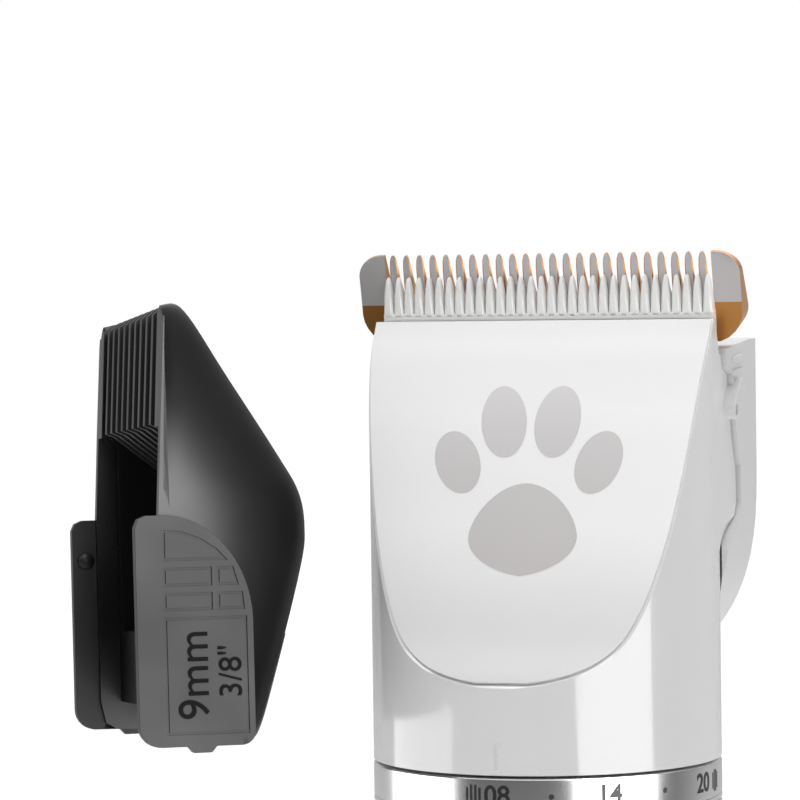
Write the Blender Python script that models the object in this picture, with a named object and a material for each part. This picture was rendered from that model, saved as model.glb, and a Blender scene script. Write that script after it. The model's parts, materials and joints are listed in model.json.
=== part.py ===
"""Cordless pet clipper: a round white body with a scooped head, a snap-off blade set with a
ceramic cutter, a cutting-length ring, and a clip-on guide comb beside it.

The clipper stands on its flat base. The origin is the middle of the base, +Z runs up the body,
-Y is the front with the scooped face, and +X is to the right when the face is looked at.
"""
import math

import bmesh
import bpy
from mathutils import Matrix, Vector

MM = 0.001

# Fits
GAP = 0.3 * MM                # between pieces that touch
RUN_GAP = 0.4 * MM            # between pieces that move past each other
BLADE_GAP = 0.15 * MM         # between the two blades

# Body
BODY_RADIUS = 20.4 * MM
SCOOP_RADIUS = 20.4 * MM         # body radius that the scooped face's line is drawn for
WALL = 1.8 * MM
PANEL_THICK = 1.4 * MM
WAIST_RADIUS = 17.6 * MM
FOOT_RADIUS = 18.9 * MM
CAP_HEIGHT = 9.0 * MM
HANDLE_TOP = 112.0 * MM
RING_HEIGHT = 5.0 * MM
HEAD_HEIGHT = 51.2 * MM       # ring's top to the face panel's top edge
SIDES = 48                    # facets round the body
FACET_SHIFT = 0.37            # start of the first facet, so that corners don't fall on an axis
HEAD_DEPTH = 15.0 * MM        # the head's box-shaped rear, behind the body's axis
NECK_DROP = (27.2 * MM, 23.4 * MM)    # below the face's top, round body to box-shaped rear

# Blade set
TIP_RISE = 7.8 * MM           # fixed blade's tips above the face panel's top edge
TIP_Y = 1.8 * MM              # cutting plane at the tips, behind the body's axis
BLADE_LEAN = math.radians(15)
TOOL_REACH = 30.0 * MM        # half the length of the tools that cut across the whole head
FIXED_WIDTH = 46.2 * MM
FIXED_HEIGHT = 18.0 * MM
FIXED_FLANK = 11.0 * MM       # height of the wide part, tips to its lower edge
FIXED_TIP_THICK = 0.6 * MM
FIXED_THICK = 4.2 * MM
FIXED_TANG_THICK = 2.2 * MM
FIXED_TEETH = 24
FIXED_PITCH = 1.63 * MM
FIXED_SLOT = 0.53 * MM
FIXED_SLOT_DEPTH = 6.8 * MM
CUTTER_WIDTH = 40.0 * MM
CUTTER_DROP = 2.6 * MM        # cutter tips below the fixed tips at the shortest setting
CUTTER_HEIGHT = 11.4 * MM
CUTTER_THICK = 1.6 * MM
CUTTER_TEETH = 32
CUTTER_PITCH = 1.25 * MM
CUTTER_SLOT = 0.5 * MM
CUTTER_SLOT_DEPTH = 4.2 * MM
STROKE = 1.25 * MM            # cutter's travel each way
LENGTH_RANGE = 1.2 * MM       # cutting length added by the ring, 0.8 mm to 2.0 mm

# Blade bracket
BRACKET_HALF = 21.0 * MM
BRACKET_BACK = 23.2 * MM
BRACKET_BOTTOM_RISE = 7.9 * MM    # above the ring's top
BRACKET_CURVE = 25.0 * MM         # height of the rounded lower part
BRACKET_FULL = 0.77               # squareness of that curve, 1 for an ellipse

# Drive
MOTOR_RADIUS = 12.0 * MM
MOTOR_LENGTH = 26.0 * MM
MOTOR_DROP = 43.5 * MM            # motor's front face below the panel's top edge
SHAFT_RADIUS = 1.2 * MM
PIN_RADIUS = 1.4 * MM

# Handle contents
BATTERY_RADIUS = 9.1 * MM
BATTERY_LENGTH = 65.0 * MM
BOARD_THICK = 1.2 * MM
BUTTON_WIDTH = 11.0 * MM
BUTTON_HEIGHT = 16.0 * MM
BUTTON_Z = 80.0 * MM
BUTTON_TRAVEL = 0.9 * MM
BUTTON_PROUD = 0.9 * MM
LAMP_Z = 64.0 * MM
JACK_Y = 9.5 * MM
JACK_RADIUS = 2.75 * MM

SLEEVE_RISE = 7.0 * MM            # cam sleeve's top above the ring
SPLIT_REACH = 60.0 * MM           # half the size of the tools that part the two handle halves
WAIST_Z = 45.0 * MM

# Guide comb, and where it lies beside the clipper
COMB_WALL = 1.5 * MM
COMB_HEIGHT = 49.4 * MM
COMB_DEPTH = 17.5 * MM
COMB_SKIN = 2.2 * MM
COMB_RIB = 1.3 * MM
COMB_RIB_PITCH = 4.3 * MM
COMB_RIBS = 10
COMB_LEG_THICK = 1.4 * MM
COMB_APEX = Vector((-47.2, -14.6, 169.6)) * MM
COMB_TURN = math.radians(-60.6)
COMB_ROLL = math.radians(-4.0)

# Derived levels
RING_TOP = HANDLE_TOP + RING_HEIGHT
PANEL_TOP = RING_TOP + HEAD_HEIGHT
TIP_Z = PANEL_TOP + TIP_RISE
INNER_RADIUS = BODY_RADIUS - WALL
SLEEVE_OUTER = INNER_RADIUS - RUN_GAP
SLEEVE_INNER = SLEEVE_OUTER - 1.0 * MM
CHASSIS_OUTER = SLEEVE_INNER - RUN_GAP
MOTOR_TOP = PANEL_TOP - MOTOR_DROP
BRACKET_BOTTOM = RING_TOP + BRACKET_BOTTOM_RISE
BRACKET_SPRING_Z = BRACKET_BOTTOM + BRACKET_CURVE


def clear_scene():
    for item in list(bpy.data.objects):
        bpy.data.objects.remove(item, do_unlink=True)


def make_material(name, colour, roughness, metallic=0.0):
    material = bpy.data.materials.new(name)
    material.use_nodes = True
    shader = material.node_tree.nodes["Principled BSDF"]
    shader.inputs["Base Color"].default_value = (*colour, 1.0)
    shader.inputs["Roughness"].default_value = roughness
    shader.inputs["Metallic"].default_value = metallic
    return material


def add_empty(name, place, turn=None, parent=None):
    empty = bpy.data.objects.new(name, None)
    bpy.context.scene.collection.objects.link(empty)
    empty.matrix_world = Matrix.Translation(place) @ (turn or Matrix())
    if parent:
        empty.parent = parent
        empty.matrix_parent_inverse = parent.matrix_world.inverted()
    bpy.context.view_layer.update()
    return empty


def add_mesh(name, points, faces, material=None):
    """A mesh object with its faces turned outwards."""
    mesh = bpy.data.meshes.new(name)
    shape = bmesh.new()
    corners = [shape.verts.new(point) for point in points]
    for face in faces:
        shape.faces.new([corners[index] for index in face])
    bmesh.ops.connect_verts_nonplanar(shape, angle_limit=math.radians(0.1), faces=shape.faces)
    bmesh.ops.recalc_face_normals(shape, faces=shape.faces)
    shape.to_mesh(mesh)
    shape.free()
    if material:
        mesh.materials.append(material)
        mesh.shade_smooth()
        mesh.set_sharp_from_angle(angle=math.radians(30))
    piece = bpy.data.objects.new(name, mesh)
    bpy.context.scene.collection.objects.link(piece)
    return piece


def add_loft(name, loops, material=None):
    """A closed body through loops of equal length, with flat ends."""
    count = len(loops[0])
    points = [point for loop in loops for point in loop]
    faces = []
    for level in range(len(loops) - 1):
        low = level * count
        for index in range(count):
            after = (index + 1) % count
            faces.append((low + index, low + after, low + count + after, low + count + index))
    faces.append(tuple(range(count)))
    faces.append(tuple(range(len(points) - count, len(points))))
    return add_mesh(name, points, faces, material)


def add_prism(name, outline, along, low, high, material=None):
    """An outline pushed along X, Y or Z. Its two values are the other two axes, in X, Y, Z order."""
    def corner(pair, distance):
        values = list(pair)
        values.insert("XYZ".index(along), distance)
        return values
    loops = [[corner(pair, distance) for pair in outline] for distance in (low, high)]
    return add_loft(name, loops, material)


def add_box(name, low, high, material=None):
    outline = [(low[0], low[1]), (high[0], low[1]), (high[0], high[1]), (low[0], high[1])]
    return add_prism(name, outline, "Z", low[2], high[2], material)


def circle(radius, centre=(0.0, 0.0), sides=SIDES):
    turns = [2 * math.pi * (index + FACET_SHIFT) / sides for index in range(sides)]
    return [(centre[0] + radius * math.cos(turn), centre[1] + radius * math.sin(turn))
            for turn in turns]


def add_rod(name, radius, low, high, material=None, along="Z", centre=(0.0, 0.0), sides=24):
    return add_prism(name, circle(radius, centre, sides), along, low, high, material)


def add_turned(name, profile, material=None, centre=(0.0, 0.0), sides=SIDES):
    """A closed profile of (radius, height) points turned about a vertical axis."""
    count = len(profile)
    points = []
    faces = []
    for index in range(sides):
        turn = 2 * math.pi * index / sides
        for radius, height in profile:
            points.append((centre[0] + radius * math.cos(turn),
                           centre[1] + radius * math.sin(turn), height))
        following = (index + 1) % sides
        for step in range(count):
            after = (step + 1) % count
            faces.append((index * count + step, index * count + after,
                          following * count + after, following * count + step))
    return add_mesh(name, points, faces, material)


def combine(target, tool, operation):
    """Booleans the tool into the target, and keeps the tool as a hidden guide."""
    tool.hide_render = True
    tool.display_type = "WIRE"
    change = target.modifiers.new(tool.name, "BOOLEAN")
    change.operation = operation
    change.solver = "EXACT"
    change.object = tool
    return target


def cut(target, tool):
    return combine(target, tool, "DIFFERENCE")


def keep_inside(target, tool):
    return combine(target, tool, "INTERSECT")


def fuse(target, tool):
    return combine(target, tool, "UNION")


def set_on(piece, empty):
    """Hangs a piece on an empty, with its origin at the empty and its shape where it was."""
    piece.data.transform(empty.matrix_world.inverted())
    piece.parent = empty
    for change in piece.modifiers:
        if change.object.parent is None:
            set_on(change.object, empty)
    return piece


def hang_local(piece, empty):
    """Hangs a piece whose points are already in the empty's own frame."""
    piece.parent = empty
    for change in piece.modifiers:
        if change.object.parent is None:
            change.object.parent = empty
    return piece


def smooth_curve(points, steps):
    """Catmull-Rom points through the given ones."""
    ends = [Vector(point) for point in points]
    ends = [2 * ends[0] - ends[1], *ends, 2 * ends[-1] - ends[-2]]
    curve = []
    for index in range(1, len(ends) - 2):
        a, b, c, d = ends[index - 1:index + 3]
        for step in range(steps):
            t = step / steps
            curve.append(0.5 * (2 * b + (c - a) * t + (2 * a - 5 * b + 4 * c - d) * t * t
                                + (3 * b - a - 3 * c + d) * t ** 3))
    curve.append(ends[-2])
    return curve


def offset_line(line, distance):
    """The line moved sideways, to the right of its direction when the distance is positive."""
    moved = []
    for index, point in enumerate(line):
        before = line[max(index - 1, 0)]
        after = line[min(index + 1, len(line) - 1)]
        direction = (after - before).normalized()
        moved.append(point + Vector((direction.y, -direction.x)) * distance)
    return moved


def pill(width, height, centre, sides=24):
    """A slot outline, upright, round at both ends."""
    radius = width / 2
    half = height / 2 - radius
    outline = []
    for index in range(sides):
        turn = 2 * math.pi * (index + 0.5) / sides
        shift = half if math.sin(turn) > 0 else -half
        outline.append((centre[0] + radius * math.cos(turn),
                        centre[1] + shift + radius * math.sin(turn)))
    return outline


def face_line():
    """The scooped face in the Y-Z plane, from its top edge down to the body's surface."""
    drops = ((0.0, 0.0), (4.9, 3.4), (11.5, 6.3), (24.5, 10.7), (33.8, 14.4), (38.2, 17.3),
             (41.6, 21.6))
    reach = BODY_RADIUS / SCOOP_RADIUS
    points = [(-out * MM * reach, PANEL_TOP - down * MM) for down, out in drops]
    return smooth_curve(points, 3)


def cheek_line(shift):
    """The side wall's rear edge in the Y-Z plane, top to bottom, moved back by shift."""
    drops = ((3.9, 4.2), (4.6, 5.9), (7.0, 6.6), (8.2, 11.0), (10.0, 15.8), (11.3, 17.6),
             (11.5, 22.0), (10.2, 23.6), (7.6, 25.6), (6.4, 27.4), (6.4, 60.0))
    return [Vector((out * MM + shift, PANEL_TOP - down * MM)) for out, down in drops]


def head_loop(height, inset):
    """The head's section: a half circle in front, and behind it a half circle or a box."""
    radius = BODY_RADIUS - inset
    low, high = PANEL_TOP - NECK_DROP[0], PANEL_TOP - NECK_DROP[1]
    share = min(max((height - low) / (high - low), 0.0), 1.0)
    loop = []
    for index in range(SIDES):
        turn = 2 * math.pi * index / SIDES
        x, y = radius * math.cos(turn), radius * math.sin(turn)
        if y > 0:
            reach = 1 / max(abs(math.cos(turn)), math.sin(turn) * radius / HEAD_DEPTH)
            square = Vector((math.cos(turn), math.sin(turn))) * radius * reach
            x, y = Vector((x, y)).lerp(square, share)
        loop.append((x, y, height))
    return loop


def head_body(name, inset, low, high, material=None):
    neck = [PANEL_TOP - NECK_DROP[0], PANEL_TOP - sum(NECK_DROP) / 2, PANEL_TOP - NECK_DROP[1]]
    levels = [low, *neck, high]
    return add_loft(name, [head_loop(level, inset) for level in levels], material)


def face_cutter(name, inwards):
    """Everything in front of the scooped face, moved inwards by a depth."""
    line = offset_line([Vector(point) for point in face_line()], -inwards)
    line[0] = line[0] + (line[0] - line[1]).normalized() * 8 * MM
    line[-1] = line[-1] + (line[-1] - line[-2]).normalized() * 4 * MM
    front = -40 * MM
    outline = [(front, line[0].y), *[tuple(point) for point in line], (front, line[-1].y)]
    return add_prism(name, outline, "X", -TOOL_REACH, TOOL_REACH)


def build_head(plastic, panel_plastic):
    bottom = RING_TOP + GAP
    shell = head_body("head_shell", 0.0, bottom, PANEL_TOP, plastic)
    cut(shell, head_body("head_hollow", WALL, bottom - 2 * MM, PANEL_TOP + 2 * MM))
    cut(shell, face_cutter("face_seat", PANEL_THICK + GAP))
    rear = cheek_line(0.0)
    outline = [tuple(point) for point in rear[:-1]]
    behind = 40 * MM
    outline += [(rear[-2].x, rear[-2].y - 0.01 * MM), (behind, rear[-2].y - 0.01 * MM)]
    outline += [(behind, PANEL_TOP + 5 * MM), (0.4 * MM, PANEL_TOP + 5 * MM)]
    outline += [(0.4 * MM, PANEL_TOP - 0.3 * MM), (3.0 * MM, rear[0].y)]
    cut(shell, add_prism("cheek_edge", outline, "X", -TOOL_REACH, TOOL_REACH))

    panel = head_body("face_panel", 0.0, bottom, PANEL_TOP, panel_plastic)
    front = [Vector(point) for point in face_line()]
    back = offset_line(front, -PANEL_THICK)
    for line in (front, back):
        line[0] = line[0] + (line[0] - line[1]).normalized() * 2 * MM
        line[-1] = line[-1] + (line[-1] - line[-2]).normalized() * 4 * MM
    outline = [tuple(point) for point in front + back[::-1]]
    keep_inside(panel, add_prism("face_sheet", outline, "X", -TOOL_REACH, TOOL_REACH))


def blade_outline():
    """The fixed blade seen square on, in its own frame: X across, Z up to the tips."""
    half = FIXED_WIDTH / 2
    corner = 2.4 * MM
    tang = INNER_RADIUS - 0.6 * MM
    right = []
    for step in range(5):
        turn = math.pi / 2 * (1 - step / 4)
        right.append((half - corner + corner * math.cos(turn), -corner + corner * math.sin(turn)))
    right += [(half, -6.2 * MM), (half - 0.7 * MM, -8.4 * MM), (half - 2.6 * MM, -10.6 * MM)]
    right += [(tang, -FIXED_FLANK), (tang, -FIXED_HEIGHT)]
    return right + [(-x, z) for x, z in reversed(right)]


def add_slots(name, count, pitch, width, low, high, reach):
    """One cutter made of a row of equal slots across X."""
    points = []
    faces = []
    box_faces = ((0, 1, 3, 2), (4, 6, 7, 5), (0, 4, 5, 1), (2, 3, 7, 6), (0, 2, 6, 4),
                 (1, 5, 7, 3))
    for index in range(count):
        middle = (index - (count - 1) / 2) * pitch
        start = len(points)
        for x in (middle - width / 2, middle + width / 2):
            for y in (-reach, reach):
                points += [(x, y, low), (x, y, high)]
        faces += [tuple(start + corner for corner in face) for face in box_faces]
    return add_mesh(name, points, faces)


def build_blades(plane, steel, ceramic, screw_steel, cutter_frame, plastic, spring_steel, lift):
    profile = [(0.0, 0.0), (FIXED_TIP_THICK, 0.0), (FIXED_THICK, -9.2 * MM),
               (FIXED_THICK - 0.7 * MM, -FIXED_FLANK), (FIXED_TANG_THICK, -FIXED_FLANK - 0.3 * MM),
               (FIXED_TANG_THICK, -FIXED_HEIGHT), (0.0, -FIXED_HEIGHT)]
    half = FIXED_WIDTH / 2 + 1 * MM
    fixed = add_prism("fixed_blade", profile, "X", -half, half, steel)
    keep_inside(fixed, add_prism("fixed_outline", blade_outline(), "Y", -2 * MM, 8 * MM))
    cut(fixed, add_slots("fixed_slots", FIXED_TEETH + 1, FIXED_PITCH, FIXED_SLOT,
                         -FIXED_SLOT_DEPTH, 2 * MM, 8 * MM))
    hang_local(fixed, plane)

    low = -CUTTER_DROP - CUTTER_HEIGHT
    waist = -CUTTER_DROP - 5.6 * MM
    neck = INNER_RADIUS - STROKE - 0.6 * MM
    half = CUTTER_WIDTH / 2
    outline = [(neck, low), (neck, waist), (half, waist), (half, -CUTTER_DROP)]
    outline += [(-x, z) for x, z in reversed(outline)]
    front = -BLADE_GAP - CUTTER_THICK
    cutter = add_prism("moving_blade", outline, "Y", front, -BLADE_GAP, ceramic)
    cut(cutter, add_slots("cutter_slots", CUTTER_TEETH - 1, CUTTER_PITCH, CUTTER_SLOT,
                          -CUTTER_DROP - CUTTER_SLOT_DEPTH, 2 * MM, 8 * MM))
    hang_local(cutter, cutter_frame)

    rail_front = front - GAP - 1.2 * MM
    top, foot = -9.4 * MM, -FIXED_HEIGHT + 1 * MM
    outline = [(-17 * MM, foot), (-14 * MM, foot), (-14 * MM, top - 1.8 * MM),
               (14 * MM, top - 1.8 * MM), (14 * MM, foot), (17 * MM, foot), (17 * MM, top),
               (-17 * MM, top)]
    guide = add_prism("cutter_guide", outline, "Y", rail_front, front - GAP, plastic)
    hang_local(guide, lift)
    spring_back = rail_front - GAP
    outline = [(-13 * MM, foot), (-12.2 * MM, foot), (-12.2 * MM, top - 1.8 * MM),
               (12.2 * MM, top - 1.8 * MM), (12.2 * MM, foot), (13 * MM, foot),
               (13 * MM, top - MM), (-13 * MM, top - MM)]
    spring = add_prism("blade_spring", outline, "Y", spring_back - 0.6 * MM, spring_back,
                       spring_steel)
    hang_local(spring, lift)

    screw_z = -FIXED_HEIGHT + 2.6 * MM
    shank, head = 1.1 * MM, 1.7 * MM
    head_front, head_back = 0.2 * MM, 1.3 * MM    # sunk, so that the cutter passes over the heads
    for side, label in ((-1, "left"), (1, "right")):
        centre = (side * 10.5 * MM, screw_z)
        screw = add_rod("blade_screw_" + label, shank, head_front + 0.5 * MM, 7.5 * MM, screw_steel,
                        "Y", centre, 12)
        fuse(screw, add_rod("blade_screw_head_" + label, head, head_front, head_back, None, "Y",
                            centre, 12))
        hang_local(screw, plane)
        hole = add_rod("blade_screw_hole_" + label, shank + GAP, -5 * MM, 8.5 * MM, None, "Y",
                       centre, 12)
        hole.parent = plane
        well = add_rod("blade_screw_well_" + label, head + GAP, -5 * MM, head_back + GAP, None, "Y",
                       centre, 12)
        well.parent = plane
        cut(fixed, hole)
        cut(fixed, well)


def bracket_outline(inset):
    """The bracket seen square on: straight sides above, a full half ellipse below."""
    half = BRACKET_HALF - inset
    curve = BRACKET_CURVE - inset
    top = PANEL_TOP - 2.6 * MM
    outline = [(half, top)]
    for step in range(17):
        turn = math.pi * step / 16
        across, down = math.cos(turn), math.sin(turn)
        outline.append((math.copysign(half * abs(across) ** BRACKET_FULL, across),
                        BRACKET_SPRING_Z - curve * max(down, 0.0) ** BRACKET_FULL))
    return outline + [(-half, top)]


def build_bracket(plane, pivot, plastic):
    """The white holder behind the head that carries the fixed blade and snaps on the body."""
    bracket = add_prism("blade_bracket", bracket_outline(0.0), "Y", 2 * MM, BRACKET_BACK, plastic)
    seat_floor = PANEL_TOP - 10.2 * MM     # solid above it, to carry the fixed blade
    hollow = add_prism("bracket_hollow", bracket_outline(WALL), "Y", -5 * MM,
                       BRACKET_BACK - WALL)
    cut(hollow, add_box("seat_block", (-TOOL_REACH, -TOOL_REACH, seat_floor),
                        (TOOL_REACH, TOOL_REACH, PANEL_TOP)))
    cut(bracket, hollow)
    edge = cheek_line(GAP)
    outline = [(-TOOL_REACH, PANEL_TOP + 5 * MM), (-TOOL_REACH, edge[-1].y)]
    outline += [tuple(point) for point in reversed(edge)]
    outline += [(edge[0].x, edge[0].y + 0.7 * MM), (17.0 * MM, PANEL_TOP - 2.7 * MM)]
    outline += [(TOOL_REACH, PANEL_TOP - 2.6 * MM), (TOOL_REACH, PANEL_TOP + 5 * MM)]
    cut(bracket, add_prism("bracket_edge", outline, "X", -TOOL_REACH, TOOL_REACH))
    cut(bracket, add_rod("bracket_bore", BODY_RADIUS + RUN_GAP, 100 * MM,
                         PANEL_TOP - 25.0 * MM, None, "Z", sides=SIDES))
    tang = [(-9 * MM, -FIXED_FLANK + 3 * MM), (FIXED_THICK + GAP, -FIXED_FLANK + 3 * MM),
            (FIXED_THICK + GAP, -FIXED_FLANK - GAP), (FIXED_TANG_THICK + GAP, -FIXED_FLANK - 2 * GAP),
            (FIXED_TANG_THICK + GAP, -FIXED_HEIGHT - 3 * MM), (-9 * MM, -FIXED_HEIGHT - 3 * MM)]
    recess = add_prism("blade_recess", tang, "X", -INNER_RADIUS, INNER_RADIUS)
    recess.parent = plane
    cut(bracket, recess)
    rim = [(-4 * MM, -FIXED_FLANK + 6 * MM), (FIXED_THICK + 2 * MM, -FIXED_FLANK + 6 * MM),
           (FIXED_THICK + 2 * MM, -FIXED_FLANK + 0.2 * MM), (FIXED_THICK, -FIXED_FLANK - GAP),
           (-4 * MM, -FIXED_FLANK - GAP)]
    room = add_prism("flank_room", rim, "X", -TOOL_REACH, TOOL_REACH)
    room.parent = plane
    cut(bracket, room)
    for label in ("left", "right"):
        cut(bracket, bpy.data.objects["blade_screw_hole_" + label])
    set_on(bracket, pivot)


def build_drive(metal, steel, brass, plastic, spinner, mover, cutter_frame, screw_steel):
    base = MOTOR_TOP - MOTOR_LENGTH
    bore = SHAFT_RADIUS + GAP
    can = add_rod("motor", MOTOR_RADIUS, base, MOTOR_TOP, metal, sides=32)
    cut(can, add_rod("motor_bore", bore, MOTOR_TOP - 5 * MM, MOTOR_TOP + 1 * MM))
    plate_top = MOTOR_TOP + GAP + 2.0 * MM
    plate = add_turned("motor_plate", [(bore + 2 * MM, MOTOR_TOP + GAP),
                                       (CHASSIS_OUTER, MOTOR_TOP + GAP),
                                       (CHASSIS_OUTER, plate_top), (bore + 2 * MM, plate_top)],
                       steel, sides=32)
    screw_radius = 1.0 * MM
    for side, label in ((-1, "left"), (1, "right")):
        centre = (side * 8 * MM, 0.0)
        screw = add_rod("motor_screw_" + label, screw_radius, MOTOR_TOP - 2.5 * MM,
                        plate_top + 1.2 * MM, screw_steel, "Z", centre, 12)
        fuse(screw, add_rod("motor_screw_head_" + label, 1.9 * MM, plate_top + GAP,
                            plate_top + 1.6 * MM, None, "Z", centre, 12))
        hole = add_rod("motor_screw_hole_" + label, screw_radius + GAP, MOTOR_TOP - 3 * MM,
                       plate_top + 1 * MM, None, "Z", centre, 12)
        cut(can, hole)
        cut(plate, hole)

    add_turned("chassis", [(MOTOR_RADIUS + RUN_GAP, HANDLE_TOP - 13 * MM),
                           (CHASSIS_OUTER, HANDLE_TOP - 13 * MM), (CHASSIS_OUTER, MOTOR_TOP),
                           (MOTOR_RADIUS + RUN_GAP, MOTOR_TOP)], plastic)

    cam_low = PANEL_TOP - 29.5 * MM
    shaft_top = cam_low + 5 * MM
    shaft = add_rod("motor_shaft", SHAFT_RADIUS, MOTOR_TOP - 4.5 * MM, shaft_top, steel, sides=16)
    set_on(shaft, spinner)
    cam_high = shaft_top + GAP + 1.2 * MM
    pin_top = PANEL_TOP - 12.4 * MM
    cam = add_rod("drive_cam", 5.0 * MM, cam_low, cam_high, brass, sides=32)
    fuse(cam, add_rod("cam_pin", PIN_RADIUS, cam_high - 0.5 * MM, pin_top, None, "Z",
                      (0.0, -STROKE), 16))
    cut(cam, add_rod("cam_bore", bore, cam_low - 1 * MM, shaft_top + GAP, sides=16))
    set_on(cam, spinner)

    arm_top = PANEL_TOP - 20.0 * MM
    collar_low, collar_high = plate_top + GAP + 1.6 * MM, plate_top + 3.8 * MM
    collar = add_turned("lift_collar", [(11.0 * MM, collar_low), (14.0 * MM, collar_low),
                                        (14.0 * MM, collar_high), (11.0 * MM, collar_high)],
                        plastic)
    for side, label in ((-1, "left"), (1, "right")):
        inner, outer = 11.5 * MM, 13.5 * MM
        low_x, high_x = sorted((side * inner, side * outer))
        arm = add_box("lift_arm_" + label, (low_x, -3 * MM, collar_low + 0.4 * MM),
                      (high_x, 3 * MM, arm_top))
        fuse(collar, arm)
    set_on(collar, mover)

    fork_low = PANEL_TOP - 18.8 * MM
    fork_back = 3.2 * MM
    front_at = {}
    for depth in (12.2 * MM, 17.2 * MM):
        out = -BLADE_GAP - CUTTER_THICK - GAP
        point = cutter_frame.matrix_world @ Vector((0.0, out, -depth))
        front_at[depth] = (point.y, point.z)
    upper, lower = front_at[12.2 * MM], front_at[17.2 * MM]
    outline = [(-2.8 * MM, fork_low), (fork_back, fork_low), (fork_back, lower[1] - 0.6 * MM),
               lower, upper, (upper[0] - 1.4 * MM, upper[1]), (-2.8 * MM, lower[1])]
    fork = add_prism("cutter_fork", outline, "X", -7.4 * MM, 7.4 * MM, plastic)
    slot = PIN_RADIUS + 2 * STROKE + GAP
    cut(fork, add_box("fork_slot", (-slot, -20 * MM, fork_low - 5 * MM),
                      (slot, 20 * MM, pin_top + LENGTH_RANGE + RUN_GAP)))
    set_on(fork, cutter_frame)


def build_ring(chrome, plastic, steel, axis):
    ring = add_turned("length_ring", [(SLEEVE_OUTER + GAP, HANDLE_TOP + GAP),
                                      (BODY_RADIUS - 0.4 * MM, HANDLE_TOP + GAP),
                                      (BODY_RADIUS, HANDLE_TOP + GAP + 0.4 * MM),
                                      (BODY_RADIUS, RING_TOP - 0.4 * MM),
                                      (BODY_RADIUS - 0.4 * MM, RING_TOP),
                                      (SLEEVE_OUTER + GAP, RING_TOP)], chrome, sides=64)
    set_on(ring, axis)
    sleeve = add_turned("cam_sleeve", [(SLEEVE_INNER, HANDLE_TOP - 3 * MM),
                                       (SLEEVE_OUTER, HANDLE_TOP - 3 * MM),
                                       (SLEEVE_OUTER, RING_TOP + SLEEVE_RISE),
                                       (SLEEVE_INNER, RING_TOP + SLEEVE_RISE)], plastic)
    set_on(sleeve, axis)
    add_box("click_spring", (-3 * MM, -CHASSIS_OUTER - GAP - 0.5 * MM, HANDLE_TOP - 8.6 * MM),
            (3 * MM, -CHASSIS_OUTER - GAP, HANDLE_TOP - 3.6 * MM), steel)


def handle_radius(height):
    """The grip's outer radius: full at the ring, narrow at the waist, wider at the foot."""
    if height >= WAIST_Z:
        share = (height - WAIST_Z) / (HANDLE_TOP - WAIST_Z)
        return WAIST_RADIUS + (BODY_RADIUS - WAIST_RADIUS) * (3 * share ** 2 - 2 * share ** 3)
    share = (WAIST_Z - height) / (WAIST_Z - CAP_HEIGHT)
    return WAIST_RADIUS + (FOOT_RADIUS - WAIST_RADIUS) * (3 * share ** 2 - 2 * share ** 3)


def handle_tube(name, material):
    low, high = CAP_HEIGHT + GAP, HANDLE_TOP - 0.05 * MM
    steps = 12
    levels = [low + (high - low) * step / steps for step in range(steps + 1)]
    outer = [(handle_radius(level), level) for level in levels]
    inner = [(handle_radius(level) - WALL, level) for level in reversed(levels)]
    return add_turned(name, outer + inner, material)


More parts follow.
